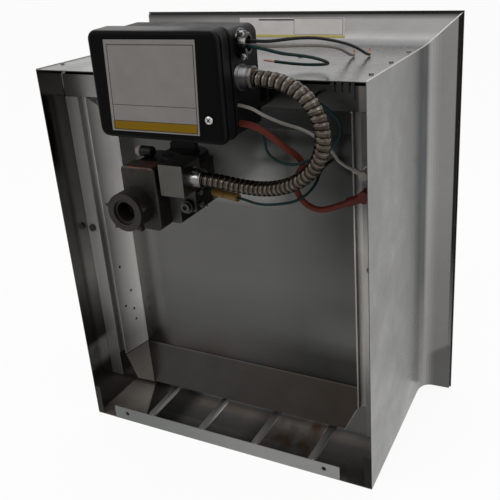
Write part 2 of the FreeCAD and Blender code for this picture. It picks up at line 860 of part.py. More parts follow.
# Corner gussets: a leaf in the plane of the side flange, folded to the mitred end of the deflector
wall_x, flange_x, foot_y, leaf_z = sized(WALL_TOP, "%s + sheet - shield_gap" % GROOVE_OUTER, FOOT_Y, LEAF_Z)
edge_x, edge_y, edge_z, low_z = sized(EDGE_HALF, EDGE_Y, EDGE_Z, SHIELD_BOTTOM)
gap, sheet, flange_y = sized("gusset_gap", "sheet", "shield_y")
gussets = []
for side in (-1, 1):
    wall_end = Vector(side * wall_x, flange_y, leaf_z - gap)
    pan_end = Vector(side * number(FEET[side]), foot_y - gap, leaf_z - gap)
    leaf_end = Vector(side * (edge_x + gap), edge_y - gap, edge_z)
    normal = (pan_end - wall_end).cross(leaf_end - wall_end).normalize()
    if normal.y < 0:
        normal = normal * -1
    # the fold runs down in both planes to the lower end of the flange
    fall = low_z - wall_end.z
    wall_low = wall_end + Vector(-normal.z * fall / normal.x, 0, fall)
    plate = Part.Face(Part.makePolygon([wall_end, pan_end, leaf_end, wall_low, wall_end]))
    flange_end = Vector(side * flange_x, flange_y, wall_end.z)
    flange_low = Vector(side * flange_x, flange_y, low_z)
    leaf = Part.Face(Part.makePolygon([wall_end, flange_end, flange_low, wall_low, wall_end]))
    folded = plate.extrude(normal * -sheet).fuse(leaf.extrude(Vector(0, -sheet, 0)))
    gussets.append(folded.removeSplitter().Solids[0])
gusset_node = doc.addObject("Part::Feature", "corner_gussets")
gusset_node.Label = "corner_gussets"
gusset_node.Shape = Part.makeCompound(gussets)
place(gusset_node)
nodes.append(gusset_node)

# Sheet screws of the shields and of the box bracket
screws = new_body("sheet_screws")


def shield_spots(sketch, radius):
    for side in (-1, 1):
        disc(sketch, "%d * %s" % (side, SCREW_X), "shield_screw_z", radius)


BRACKET_REAR = "(%s - bracket_sheet)" % SHIELD_REAR
for seat, spots in (
    (SHIELD_REAR, shield_spots),
    (BRACKET_REAR, lambda sketch, radius: bracket_spots(sketch, BEND_Z, radius)),
):
    add(screws, "XZ", "%s - screw_height" % seat, seat, lambda sketch: spots(sketch, "screw_radius"))
    add(screws, "XZ", "%s - screw_height / 2" % seat, "%s + screw_length" % seat,
        lambda sketch: spots(sketch, "screw_shank"))

# Burner: plenum box, gasket lattice, tiles and frame
plenum = new_body("plenum_box")
add(plenum, "XZ", "plenum_y", PLENUM_END,
    lambda sketch: rounded(sketch, minus(PLENUM_X), minus(PLENUM_Z), PLENUM_X, PLENUM_Z, "plenum_corner"))
INNER_X = "(%s - plenum_sheet)" % PLENUM_X
INNER_Z = "(%s - plenum_sheet)" % PLENUM_Z
cut(plenum, "XZ", "plenum_y + plenum_sheet", PLENUM_END,
    lambda sketch: rounded(sketch, minus(INNER_X), minus(INNER_Z), INNER_X, INNER_Z,
                           "(plenum_corner - plenum_sheet)"))
cut(plenum, "XZ", "plenum_y - 1", "plenum_y + 2 * plenum_sheet",
    lambda sketch: disc(sketch, "outlet_x", "outlet_z", "air_hole_radius"))


def tile_outline(sketch, column, row):
    x = "(%s * (tile_length + tile_bar))" % (column - 1)
    z = "(%s * (tile_width + tile_bar))" % (row - 1.5)
    rectangle(sketch, "%s - tile_length / 2" % x, "%s - tile_width / 2" % z,
              "%s + tile_length / 2" % x, "%s + tile_width / 2" % z)


def all_tiles(sketch):
    for row in range(4):
        for column in range(3):
            tile_outline(sketch, column, row)


gasket = new_body("tile_gasket")
add(gasket, "XZ", PLENUM_END, TILE_FACE,
    lambda sketch: rectangle(sketch, minus(PLENUM_X), minus(PLENUM_Z), PLENUM_X, PLENUM_Z))
cut(gasket, "XZ", "%s - 1" % PLENUM_END, "%s + 1" % TILE_FACE, all_tiles)

for row in range(4):
    tiles = new_body("tile_row_%d" % (row + 1))

    def one_row(sketch):
        for column in range(3):
            tile_outline(sketch, column, row)

    add(tiles, "XZ", PLENUM_END, TILE_FACE, one_row)

frame = new_body("tile_frame")
FRAME_X = "(%s + frame_gap)" % PLENUM_X
FRAME_Z = "(%s + frame_gap)" % PLENUM_Z
SKIRT_START = "(%s - frame_skirt)" % PLENUM_END
FRAME_FACE = "(%s + frame_sheet)" % TILE_FACE
RIM_X = "(%s + frame_sheet)" % FRAME_X
RIM_Z = "(%s + frame_sheet)" % FRAME_Z
add(frame, "XZ", SKIRT_START, FRAME_FACE,
    lambda sketch: rectangle(sketch, minus(RIM_X), minus(RIM_Z), RIM_X, RIM_Z))
cut(frame, "XZ", "%s - 1" % SKIRT_START, TILE_FACE,
    lambda sketch: rectangle(sketch, minus(FRAME_X), minus(FRAME_Z), FRAME_X, FRAME_Z))
MOUTH_X = "(%s - frame_lip)" % TILES_X
MOUTH_Z = "(%s - frame_lip)" % TILES_Z
cut(frame, "XZ", "%s - 1" % TILE_FACE, "%s + 1" % FRAME_FACE,
    lambda sketch: rectangle(sketch, minus(MOUTH_X), minus(MOUTH_Z), MOUTH_X, MOUTH_Z))

# Racks and re-radiating rods in front of the tiles
ROD_Y = "(%s + rod_stand)" % FRAME_FACE
ROD_HOLE = "rod_radius + rod_clearance"
RACK_X = "(%s - rack_inset)" % RIM_X
RACK_HALF = "((rod_count - 1) * rod_pitch / 2 + rack_end)"
ROD_REACH = "(%s + rack_sheet + rod_overhang)" % RACK_X


def rod_spots(sketch, radius):
    for i in range(int(number("rod_count"))):
        disc(sketch, ROD_Y, "(%d - (rod_count - 1) / 2) * rod_pitch" % i, radius)


for label, side in (("rod_rack_left", -1), ("rod_rack_right", 1)):
    rack = new_body(label)

    def angle_section(sketch):
        path = [
            (RACK_X, FRAME_FACE),
            ("%s + rack_foot" % RACK_X, FRAME_FACE),
            ("%s + rack_foot" % RACK_X, "%s + rack_sheet" % FRAME_FACE),
            ("%s + rack_sheet" % RACK_X, "%s + rack_sheet" % FRAME_FACE),
            ("%s + rack_sheet" % RACK_X, "%s + rack_height" % FRAME_FACE),
            (RACK_X, "%s + rack_height" % FRAME_FACE),
        ]
        loop(sketch, [("%d * (%s)" % (side, x), y) for x, y in path])

    add(rack, "XY", minus(RACK_HALF), RACK_HALF, angle_section)
    inner, outer = "%s - 1" % RACK_X, "%s + rack_sheet + 1" % RACK_X
    if side < 0:
        inner, outer = minus(outer), minus(inner)
    cut(rack, "YZ", inner, outer, lambda sketch: rod_spots(sketch, ROD_HOLE))

rods = new_body("reverberator_rods")
add(rods, "YZ", minus(ROD_REACH), ROD_REACH, lambda sketch: rod_spots(sketch, "rod_radius"))

# Venturi, orifice and bridge bracket on the axis of the valve outlet
venturi = new_body("venturi_tube", "outlet_x", "plenum_y + plenum_sheet", "outlet_z")
revolve(venturi, [
    ("venturi_mouth_radius", "0"),
    ("venturi_flange_radius", "0"),
    ("venturi_flange_radius", "plenum_sheet"),
    ("venturi_mouth_radius + plenum_sheet", "plenum_sheet"),
    ("venturi_throat_radius + plenum_sheet", "venturi_throat_at"),
    ("venturi_end_radius + plenum_sheet", "venturi_length"),
    ("venturi_end_radius", "venturi_length"),
    ("venturi_throat_radius", "venturi_throat_at"),
])

VALVE_Y = "(plenum_y - valve_reach)"
OUTLET_FACE = "(valve_end + outlet_boss)"
nipple = new_body("outlet_nipple", "outlet_x", "%s + %s" % (VALVE_Y, OUTLET_FACE), "outlet_z")
revolve(nipple, [
    ("nipple_bore", "0"),
    ("nipple_radius", "0"),
    ("nipple_radius", "nipple_length"),
    ("nipple_bore", "nipple_length"),
])

spud = new_body("orifice_spud", y=VALVE_Y)
SPUD_START = "(%s + nipple_length)" % OUTLET_FACE
add(spud, "XZ", SPUD_START, "%s + spud_hex_length" % SPUD_START,
    lambda sketch: hexagon(sketch, "outlet_x", "outlet_z", "spud_hex_radius"))
add(spud, "XZ", "%s + spud_hex_length / 2" % SPUD_START, "%s + spud_length" % SPUD_START,
    lambda sketch: disc(sketch, "outlet_x", "outlet_z", "spud_radius"))
cut(spud, "XZ", "%s - 1" % SPUD_START, "%s + spud_length + 1" % SPUD_START,
    lambda sketch: disc(sketch, "outlet_x", "outlet_z", "spud_bore"))

bridge = new_body("orifice_bracket")
BRIDGE_Y = "(plenum_y - bridge_depth)"


def bridge_section(sketch):
    outer = "bridge_half_height"
    inner = "bridge_half_height - bridge_sheet"
    rear = BRIDGE_Y
    front = "%s + bridge_sheet" % BRIDGE_Y
    seat = "plenum_y - bridge_sheet"
    toe = "bridge_half_height + bridge_foot"
    path = [
        (rear, outer), ("(%s)" % seat, outer), ("(%s)" % seat, toe), ("plenum_y", toe), ("plenum_y", inner),
        (front, inner), (front, minus(inner)), ("plenum_y", minus(inner)), ("plenum_y", minus(toe)),
        ("(%s)" % seat, minus(toe)), ("(%s)" % seat, minus(outer)), (rear, minus(outer)),
    ]
    loop(sketch, [(y, "outlet_z + %s" % z) for y, z in path])


add(bridge, "YZ", "outlet_x - bridge_half_width", "outlet_x + bridge_half_width", bridge_section)
cut(bridge, "XZ", "%s - 1" % BRIDGE_Y, "%s + bridge_sheet + 1" % BRIDGE_Y,
    lambda sketch: disc(sketch, "outlet_x", "outlet_z", "nipple_radius + bridge_clearance"))

# Spark and sensor electrodes beside the burner
INSULATOR_START = "(%s - insulator_back)" % SHIELD_REAR
BOOT_START = "(%s - boot_cap)" % INSULATOR_START
BOOT_END = "(%s + boot_grip)" % INSULATOR_START
STUB_Y = "(%s - boot_stub_back)" % INSULATOR_START
TAIL_Y = "(%s - electrode_tail)" % INSULATOR_START
for kind, z in (("spark", "spark_z"), ("sensor", "sensor_z")):
    insulator = new_body(kind + "_insulator", ELECTRODE_X, "0", z)
    revolve(insulator, [
        ("insulator_bore", INSULATOR_START),
        ("insulator_radius", INSULATOR_START),
        ("insulator_radius", "%s - collar_length" % SHIELD_REAR),
        ("collar_radius", "%s - collar_length" % SHIELD_REAR),
        ("collar_radius", SHIELD_REAR),
        ("insulator_radius", SHIELD_REAR),
        ("insulator_radius", PLENUM_END),
        ("insulator_bore", PLENUM_END),
    ])

for label, z, radius, stub in (
    ("spark_boot", "spark_z", "boot_radius", "boot_stub"),
    ("sensor_terminal", "sensor_z", "terminal_radius", "terminal_stub"),
):
    boot = new_body(label)
    add(boot, "XZ", BOOT_START, BOOT_END, lambda sketch: disc(sketch, ELECTRODE_X, z, radius))
    spout = boot.newObject("PartDesign::AdditiveCylinder", label + "_spout")
    spout.AttachmentSupport = [(item, "") for item in boot.Origin.OriginFeatures if item.Role == "XY_Plane"]
    spout.MapMode = "FlatFace"
    spout.setExpression("Radius", bind(stub + "_radius"))
    spout.setExpression("Height", bind(stub + "_length"))
    # the spout leaves the axis of the electrode towards the left, and drops by its own angle
    spout.AttachmentOffset = Placement(Vector(), Rotation(Vector(0, 1, 0), -90 - number(stub + "_drop")))
    spout.setExpression("AttachmentOffset.Base.x", bind(ELECTRODE_X))
    spout.setExpression("AttachmentOffset.Base.y", bind(STUB_Y))
    spout.setExpression("AttachmentOffset.Base.z", bind(z))
    boot.Tip = spout
    cut(boot, "XZ", "%s - 1" % INSULATOR_START, "%s + 1" % BOOT_END,
        lambda sketch: disc(sketch, ELECTRODE_X, z, "boot_bore"))
    cut(boot, "XZ", "%s - 1" % TAIL_Y, INSULATOR_START,
        lambda sketch: disc(sketch, ELECTRODE_X, z, "insulator_bore"))

# Control box: base, cover, screw and what stands inside
SEAM = "-box_seam"
BACK = "-box_back"
FRONT = "-box_front"
IN_LEFT = "box_left + box_wall"
IN_RIGHT = "box_right - box_wall"
IN_LOW = "box_low + box_wall"
IN_HIGH = "box_high - base_drop - box_wall"
IN_CORNER = "(box_corner - box_wall)"


def box_outline(sketch, grow="0", drop="0"):
    rounded(sketch, "box_left - %s" % grow, "box_low - %s" % grow, "box_right + %s" % grow,
            "box_high - %s" % drop, "(box_corner + %s)" % grow)


def box_inside(sketch):
    rounded(sketch, IN_LEFT, IN_LOW, IN_RIGHT, IN_HIGH, IN_CORNER)


base = new_body("control_box_base", z=BEND_Z)
INNER_BACK = "(-box_back - box_wall)"
add(base, "XZ", SEAM, BACK, lambda sketch: box_outline(sketch, drop="base_drop"))
cut(base, "XZ", "%s - 1" % SEAM, INNER_BACK, box_inside)


def standoffs(sketch):
    for x in ("board_left + standoff_inset", "board_right - standoff_inset"):
        for z in ("board_low + standoff_inset", "board_high - standoff_inset"):
            disc(sketch, x, z, "standoff_radius")


add(base, "XZ", "%s - standoff_height" % INNER_BACK, "%s + 1" % INNER_BACK, standoffs)
POST_END = "(%s + cover_boss_depth + box_wall + seam_gap)" % FRONT
add(base, "XZ", POST_END, "%s + 1" % INNER_BACK,
    lambda sketch: disc(sketch, "cover_screw_x", "cover_screw_z", "post_radius"))
cut(base, "XZ", "%s - 1" % POST_END, "%s + 25" % POST_END,
    lambda sketch: disc(sketch, "cover_screw_x", "cover_screw_z", "post_hole"))


def side_holes(sketch):
    disc(sketch, "-clamp_y", "clamp_z", "neck_radius + neck_clearance")
    disc(sketch, "-entry_y", "entry_z", "neck_radius + neck_clearance")
    disc(sketch, "-ignition_exit_y", "ignition_exit_z", "ignition_hole")
    disc(sketch, "-sensor_exit_y", "sensor_exit_z", "sensor_hole")
    disc(sketch, "-ground_exit_y", "ground_exit_z", "ground_hole")


cut(base, "YZ", "box_right - neck_inside - 1", "box_right + 1", side_holes)

cover = new_body("control_box_cover", z=BEND_Z)
RIM = "(-box_seam - seam_gap)"
add(cover, "XZ", FRONT, RIM, box_outline)
round_edges(cover, "cover_round", edge_at(1, FRONT))
add(cover, "XZ", "%s - ridge_width" % RIM, RIM, lambda sketch: box_outline(sketch, "ridge"))
add(cover, "XZ", "-ridge_front_y", "-ridge_front_y + ridge_width",
    lambda sketch: box_outline(sketch, "ridge"))
cut(cover, "XZ", "%s + box_wall" % FRONT, "%s + 1" % RIM, box_inside)
add(cover, "XZ", "%s + box_wall - 1" % FRONT, "%s + box_wall + cover_boss_depth" % FRONT,
    lambda sketch: disc(sketch, "cover_screw_x", "cover_screw_z", "cover_boss_radius"))
cut(cover, "XZ", "%s - 1" % FRONT, "%s + counterbore_depth" % FRONT,
    lambda sketch: disc(sketch, "cover_screw_x", "cover_screw_z", "counterbore_radius"))
cut(cover, "XZ", FRONT, "%s + box_wall + cover_boss_depth + 1" % FRONT,
    lambda sketch: disc(sketch, "cover_screw_x", "cover_screw_z", "post_hole"))

cover_screw = new_body("cover_screw", z=BEND_Z)
HEAD_SEAT = "(%s + counterbore_depth)" % FRONT
add(cover_screw, "XZ", "%s - cover_screw_head" % HEAD_SEAT, HEAD_SEAT,
    lambda sketch: disc(sketch, "cover_screw_x", "cover_screw_z", "cover_screw_radius"))
add(cover_screw, "XZ", "%s - cover_screw_head / 2" % HEAD_SEAT, "%s + 20" % HEAD_SEAT,
    lambda sketch: disc(sketch, "cover_screw_x", "cover_screw_z", "cover_screw_shank"))

board = new_body("ignition_board", z=BEND_Z)
BOARD_BACK = "(%s - standoff_height)" % INNER_BACK
BOARD_FACE = "(%s - board_thick)" % BOARD_BACK
add(board, "XZ", BOARD_FACE, BOARD_BACK,
    lambda sketch: rectangle(sketch, "board_left", "board_low", "board_right", "board_high"))


def board_blocks(sketch):
    rectangle(sketch, "board_left + 16", "board_low + 14", "board_left + 40", "board_high - 14")
    rectangle(sketch, "board_right - 48", "board_low + 12", "board_right - 18", "board_high - 12")


add(board, "XZ", "%s - 16" % BOARD_FACE, BOARD_FACE, board_blocks)

transformer = new_body("control_transformer", z=BEND_Z)


def transformer_outline(sketch):
    low = "box_low + box_wall"
    rectangle(sketch, "board_left", low, "board_left + transformer_width", "%s + transformer_height" % low)


add(transformer, "XZ", "%s - transformer_depth" % INNER_BACK, INNER_BACK, transformer_outline)
round_edges(transformer, "box_wall", edge_at(1, "%s - transformer_depth" % INNER_BACK))

bracket = new_body("control_box_bracket", z=BEND_Z)


def bracket_section(sketch):
    plate = "(-box_back + bracket_sheet)"
    path = [
        (BACK, "bracket_low"),
        (SHIELD_REAR, "bracket_low"),
        (SHIELD_REAR, "bracket_low + bracket_foot"),
        (BRACKET_REAR, "bracket_low + bracket_foot"),
        (BRACKET_REAR, "bracket_low + bracket_sheet"),
        (plate, "bracket_low + bracket_sheet"),
        (plate, "bracket_high"),
        (BACK, "bracket_high"),
    ]
    loop(sketch, path)


add(bracket, "YZ", "bracket_left", "bracket_right", bracket_section)
cut(bracket, "XZ", "%s - 1" % BRACKET_REAR, "%s + 0.5" % SHIELD_REAR,
    lambda sketch: bracket_spots(sketch, "0", SCREW_HOLE))

# Two-screw cable clamp on the right side of the box
clamp = new_body("cable_clamp", z=BEND_Z)
CLAMP_START = "(box_right + clamp_flange)"
CLAMP_END = "(%s + clamp_length)" % CLAMP_START
CLAMP_MID = "(%s + clamp_length / 2)" % CLAMP_START


def clamp_block(sketch, low, high):
    rectangle(sketch, "-clamp_y - clamp_half_width", low, "-clamp_y + clamp_half_width", high)


def clamp_screw_spots(sketch, radius):
    for side in (-1, 1):
        disc(sketch, CLAMP_MID, "-clamp_y + %d * clamp_screw_y" % side, radius)


add(clamp, "YZ", "box_right", CLAMP_START,
    lambda sketch: disc(sketch, "-clamp_y", "clamp_z", "clamp_flange_radius"))
add(clamp, "YZ", "box_right - neck_inside", "box_right + 1",
    lambda sketch: disc(sketch, "-clamp_y", "clamp_z", "neck_radius"))
add(clamp, "YZ", "%s - 1" % CLAMP_START, CLAMP_END,
    lambda sketch: clamp_block(sketch, "clamp_z - clamp_half_height", "clamp_z - clamp_split"))
cut(clamp, "YZ", "box_right - neck_inside - 1", "%s + 1" % CLAMP_END,
    lambda sketch: disc(sketch, "-clamp_y", "clamp_z", "clamp_bore"))
cut(clamp, "XY", "clamp_z - clamp_half_height - 1", "clamp_z",
    lambda sketch: clamp_screw_spots(sketch, "clamp_screw_shank + screw_clearance"))

saddle = new_body("clamp_saddle", z=BEND_Z)
SADDLE_START = "(%s + 0.5)" % CLAMP_START
add(saddle, "YZ", SADDLE_START, CLAMP_END,
    lambda sketch: clamp_block(sketch, "clamp_z - clamp_split", "clamp_z + clamp_half_height"))
cut(saddle, "YZ", "%s - 1" % SADDLE_START, "%s + 1" % CLAMP_END,
    lambda sketch: disc(sketch, "-clamp_y", "clamp_z", "clamp_bore"))
cut(saddle, "XY", "clamp_z - clamp_split - 1", "clamp_z + clamp_half_height + 1",
    lambda sketch: clamp_screw_spots(sketch, "clamp_screw_shank + screw_clearance"))

clamp_screws = new_body("clamp_screws", z=BEND_Z)
SADDLE_TOP = "(clamp_z + clamp_half_height)"
add(clamp_screws, "XY", SADDLE_TOP, "%s + clamp_screw_head" % SADDLE_TOP,
    lambda sketch: clamp_screw_spots(sketch, "clamp_screw_radius"))
add(clamp_screws, "XY", "clamp_z - clamp_half_height + 1", "%s + 1" % SADDLE_TOP,
    lambda sketch: clamp_screw_spots(sketch, "clamp_screw_shank"))

# Conduit fittings on the box and on the valve's junction box
for label, seat, y, z, inside, datum in (
    ("conduit_fitting_box", "box_right", "-entry_y", "entry_z", "neck_inside", ("0", "0", BEND_Z)),
    ("conduit_fitting_valve", "junction_right", "0", "valve_entry_z", "neck_inside / 2", ("0", VALVE_Y, "0")),
):
    fitting = new_body(label, *datum)
    start = "(%s + fitting_flange)" % seat
    end = "(%s + fitting_length)" % start
    add(fitting, "YZ", start, end, lambda sketch: disc(sketch, y, z, "fitting_radius"))
    round_edges(fitting, "fitting_round", edge_at(0, end))
    add(fitting, "YZ", seat, start, lambda sketch: disc(sketch, y, z, "fitting_flange_radius"))
    add(fitting, "YZ", "%s - %s" % (seat, inside), "%s + 1" % seat,
        lambda sketch: disc(sketch, y, z, "neck_radius"))
    cut(fitting, "YZ", "%s - %s - 1" % (seat, inside), "%s + 1" % end,
        lambda sketch: disc(sketch, y, z, "fitting_bore"))
    cut(fitting, "YZ", "%s - fitting_socket" % end, "%s + 1" % end,
        lambda sketch: disc(sketch, y, z, "conduit_diameter / 2 + conduit_clearance"))

# Gas valve: inlet casting with its eared boss
inlet = new_body("valve_inlet", y=VALVE_Y)
INLET_REAR = "-inlet_front"
INLET_FACE = "-inlet_face"
EAR_ANGLES = (13, 167, 230, 310)
EAR_SPREAD = 18


def ears(sketch):
    """Four pointed wrench ears round the boss, as triangles that start inside it."""
    for angle in EAR_ANGLES:
        corners = []
        for radius, turn in (("ear_root", -EAR_SPREAD), ("ear_tip", 0), ("ear_root", EAR_SPREAD)):
            aim = "(%d deg)" % (angle + turn)
            corners.append(("inlet_x + %s * cos%s" % (radius, aim), "inlet_z + %s * sin%s" % (radius, aim)))
        loop(sketch, corners)


add(inlet, "XZ", INLET_REAR, "valve_start",
    lambda sketch: rounded(sketch, "inlet_left", "inlet_low", "inlet_right", "inlet_high", "inlet_round"))
round_edges(inlet, "valve_round", edge_at(1, INLET_REAR))
add(inlet, "XZ", INLET_FACE, "%s + 2" % INLET_REAR,
    lambda sketch: disc(sketch, "inlet_x", "inlet_z", "inlet_boss_radius"))
add(inlet, "XZ", "-ear_start", "-ear_start + ear_thick", ears)
cut(inlet, "XZ", "%s - 1" % INLET_FACE, "%s + inlet_depth" % INLET_FACE,
    lambda sketch: disc(sketch, "inlet_x", "inlet_z", "inlet_bore"))
cut(inlet, "XZ", "%s - 1" % INLET_FACE, "%s + inlet_mouth_depth" % INLET_FACE,
    lambda sketch: disc(sketch, "inlet_x", "inlet_z", "inlet_mouth"))
cut(inlet, "XZ", INLET_FACE, "valve_start + 1",
    lambda sketch: disc(sketch, "inlet_x", "inlet_z", "gas_way"))

valve = new_body("valve_body", y=VALVE_Y)
add(valve, "XZ", "valve_start", "valve_end",
    lambda sketch: rounded(sketch, "valve_left", "valve_low", "valve_keel_right", "valve_deck",
                           "valve_round"))
add(valve, "XZ", "valve_start", "valve_mid_end",
    lambda sketch: rounded(sketch, "valve_left", "valve_mid", "valve_right", "valve_deck", "valve_round"))
add(valve, "XY", "valve_deck - 6", "tower_top",
    lambda sketch: rounded(sketch, "tower_left", "tower_start", "tower_right", "valve_end", "valve_round"))
add(valve, "XZ", "valve_end - 1", OUTLET_FACE,
    lambda sketch: disc(sketch, "outlet_x", "outlet_z", "outlet_boss_radius"))
add(valve, "XZ", "valve_start - plug_boss", "valve_start + 2",
    lambda sketch: disc(sketch, "plug_x", "plug_z", "plug_boss_radius"))
cut(valve, "XZ", "valve_end - 12", "%s + 1" % OUTLET_FACE,
    lambda sketch: disc(sketch, "outlet_x", "outlet_z", "gas_way"))

plug = new_body("pressure_plug", y=VALVE_Y)
PLUG_SEAT = "(valve_start - plug_boss)"
add(plug, "XZ", "%s - plug_height" % PLUG_SEAT, PLUG_SEAT,
    lambda sketch: disc(sketch, "plug_x", "plug_z", "plug_radius"))
cut(plug, "XZ", "%s - plug_height - 1" % PLUG_SEAT, "%s - plug_height / 4" % PLUG_SEAT,
    lambda sketch: hexagon(sketch, "plug_x", "plug_z", "plug_socket"))

valve_screws = new_body("valve_screws", y=VALVE_Y)


def valve_screw_spots(sketch, shape, radius):
    for y in ("valve_start + 10", "valve_mid_end - 10"):
        for z in ("valve_mid + 7", "valve_deck - 7"):
            shape(sketch, y, z, radius)


add(valve_screws, "YZ", "valve_right", "valve_right + valve_screw_height",
    lambda sketch: valve_screw_spots(sketch, disc, "valve_screw_radius"))
cut(valve_screws, "YZ", "valve_right + valve_screw_height / 3", "valve_right + valve_screw_height + 1",
    lambda sketch: valve_screw_spots(sketch, hexagon, "valve_screw_socket"))

junction = new_body("valve_junction_box", y=VALVE_Y)
add(junction, "XZ", "-junction_half", "junction_half",
    lambda sketch: rounded(sketch, "junction_left", "valve_deck", "junction_right", "junction_top",
                           "junction_round"))
cut(junction, "XZ", "-junction_half + junction_wall", "junction_half + 1",
    lambda sketch: rectangle(sketch, "junction_left + junction_wall", "valve_deck + junction_wall",
                             "junction_right - junction_wall", "junction_top - junction_wall"))
cut(junction, "YZ", "junction_right - 2 * junction_wall", "junction_right + 1",
    lambda sketch: disc(sketch, "0", "valve_entry_z", "neck_radius + neck_clearance"))

# Top cover of the valve and the gas knob that turns on it
valve_cover = new_body("valve_top_cover", y=VALVE_Y)
COVER_TOP = "(tower_top + cover_height)"
add(valve_cover, "XY", "tower_top", COVER_TOP,
    lambda sketch: disc(sketch, "cover_x", "cover_y", "cover_radius"))
round_edges(valve_cover, "valve_round", edge_at(2, COVER_TOP))
cut(valve_cover, "XY", "%s - spindle_depth" % COVER_TOP, "%s + 1" % COVER_TOP,
    lambda sketch: disc(sketch, "cover_x", "cover_y", "spindle_radius + spindle_gap"))

knob = new_body("gas_knob", y=VALVE_Y)
KNOB_LOW = "(%s + knob_gap)" % COVER_TOP
KNOB_TOP = "(%s + knob_height)" % KNOB_LOW
add(knob, "XY", KNOB_LOW, KNOB_TOP, lambda sketch: disc(sketch, "cover_x", "cover_y", "knob_radius"))
round_edges(knob, "valve_round / 2", edge_at(2, KNOB_TOP))
add(knob, "XY", "%s - spindle_depth + 1" % COVER_TOP, "%s + 1" % KNOB_LOW,
    lambda sketch: disc(sketch, "cover_x", "cover_y", "spindle_radius"))


def finger_hollows(sketch):
    for side in (-1, 1):
        near, far = "cover_y + %d * knob_grip / 2" % side, "cover_y + %d * (knob_radius + 2)" % side
        low, high = (near, far) if side > 0 else (far, near)
        rectangle(sketch, "cover_x - knob_radius - 2", low, "cover_x + knob_radius + 2", high)


cut(knob, "XY", "%s - knob_grip_height" % KNOB_TOP, "%s + 1" % KNOB_TOP, finger_hollows)

# Wire nut that closes the lead pair on top of the valve
nut = new_body("wire_nut", "0", "%s + nut_y" % VALVE_Y, "tower_top + nut_radius")


def nut_round(text):
    return lambda sketch: disc(sketch, "0", "0", text)


add(nut, "YZ", "nut_x + nut_cap", "nut_x + nut_length", nut_round("nut_radius"))
round_edges(nut, "valve_round", edge_at(0, "nut_x + nut_length"))
add(nut, "YZ", "nut_x", "nut_x + nut_cap + 1", nut_round("nut_tip_radius"))


# Wires and conduit: straight runs joined by tangent arcs
def path_edges(points):
    """Edges of the rounded path, and the radius of each bend."""
    edges, radii = [], []
    start = points[0]
    for before, corner, after in zip(points, points[1:], points[2:]):
        back = (before - corner).normalize()
        ahead = (after - corner).normalize()
        turn = math.pi - back.getAngle(ahead)
        cut_back = 0.45 * min((before - corner).Length, (after - corner).Length)
        radius = cut_back / math.tan(turn / 2)
        bisector = (back + ahead).normalize()
        middle = corner + bisector * (radius / math.cos(turn / 2) - radius)
        first, last = corner + back * cut_back, corner + ahead * cut_back
        edges.append(Part.LineSegment(start, first).toShape())
        edges.append(Part.Arc(first, middle, last).toShape())
        radii.append(radius)
        start = last
    edges.append(Part.LineSegment(start, points[-1]).toShape())
    return edges, radii


def ring(centre, along, steady, radius):
    """Circle square to the path, with its start on a steady axis."""
    across = (steady - along * steady.dot(along)).normalize()
    up = along.cross(across)
    frame = FreeCAD.Matrix(across.x, up.x, along.x, centre.x, across.y, up.y, along.y, centre.y,
                           across.z, up.z, along.z, centre.z, 0, 0, 0, 1)
    circle = Part.makeCircle(radius)
    circle.Placement = Placement(frame)
    return Part.Wire([circle])


def wire_solid(points, diameter):
    edges, radii = path_edges(points)
    path = Part.Wire(edges)
    along = (points[1] - points[0]).normalize()
    steady = Vector(0, 1, 0) if abs(along.y) < 0.9 else Vector(0, 0, 1)
    section = ring(points[0], along, steady, diameter / 2)
    solid = path.makePipeShell([section], True, False)
    return solid, path, radii


def whole_path(start, middle, end):
    return [Vector(*start)] + [Vector(*point) for point in middle] + [Vector(*end)]


def new_wire(label, points, diameter):
    solid, path, radii = wire_solid(points, diameter)
    share = solid.Volume / (math.pi * diameter ** 2 / 4 * path.Length)
    runs = [(b - a).Length for a, b in zip(points, points[1:])]
    print(label, "length %.0f, least bend radius %.1f, longest run %.0f, volume share %.3f"
          % (path.Length, min(radii), max(runs), share))
    wire = doc.addObject("Part::Feature", label)
    wire.Label = label
    wire.Shape = solid
    place(wire)
    nodes.append(wire)
    return path


def spout_end(stub, z):
    """Centre of the mouth of a boot's spout."""
    drop = "(%s_drop * 1 deg)" % stub
    return sized("%s - %s_length * cos(%s)" % (ELECTRODE_X, stub, drop), STUB_Y,
                 "%s - %s_length * sin(%s)" % (z, stub, drop))


def along_spout(mouth, stub, run):
    """Point on the spout's axis, one run before its mouth."""
    drop = math.radians(number(stub + "_drop"))
    return (mouth[0] - run * math.cos(drop), mouth[1], mouth[2] - run * math.sin(drop))


def box_exit(name):
    """Centre of a wire hole in the right side of the control box."""
    return sized("box_right", "-%s_exit_y" % name, "%s + %s_exit_z" % (BEND_Z, name))


ignition_exit = box_exit("ignition")
boot_mouth = spout_end("boot_stub", "spark_z")
new_wire("ignition_cable", whole_path(
    ignition_exit,
    [(117, ignition_exit[1], ignition_exit[2] - 1), (131, -52, 216), (143, -40, 199), (150, -21, 183),
     (145, 0, 166), (127, 20, 148), (121, 24, 129), (130, 26, 111), (149, 25, 104),
     along_spout(boot_mouth, "boot_stub", 20)],
    boot_mouth), number("ignition_diameter"))

sensor_exit = box_exit("sensor")
terminal_mouth = spout_end("terminal_stub", "sensor_z")
new_wire("sensor_wire", whole_path(
    sensor_exit,
    [(115, sensor_exit[1], sensor_exit[2] - 1), (127, -50, 234), (141, -34, 222), (156, -19, 213),
     (168, -4, 198), (174, 12, 181), along_spout(terminal_mouth, "terminal_stub", 16)],
    terminal_mouth), number("sensor_diameter"))

ground_exit = box_exit("ground")
flange_rear = number(SHIELD_REAR)
new_wire("ground_wire", whole_path(
    ground_exit,
    [(117, ground_exit[1], ground_exit[2] - 2), (122, -44, 206), (120, -37, 190), (129, -30, 178.5),
     (145, -27, 175), (160, -24, 180), (175, -12, 185), (184, 6, 194), (183, 19, 210), (167, 19, 226),
     (147, 20.5, 236)],
    (147, flange_rear, 236)), number("ground_diameter"))

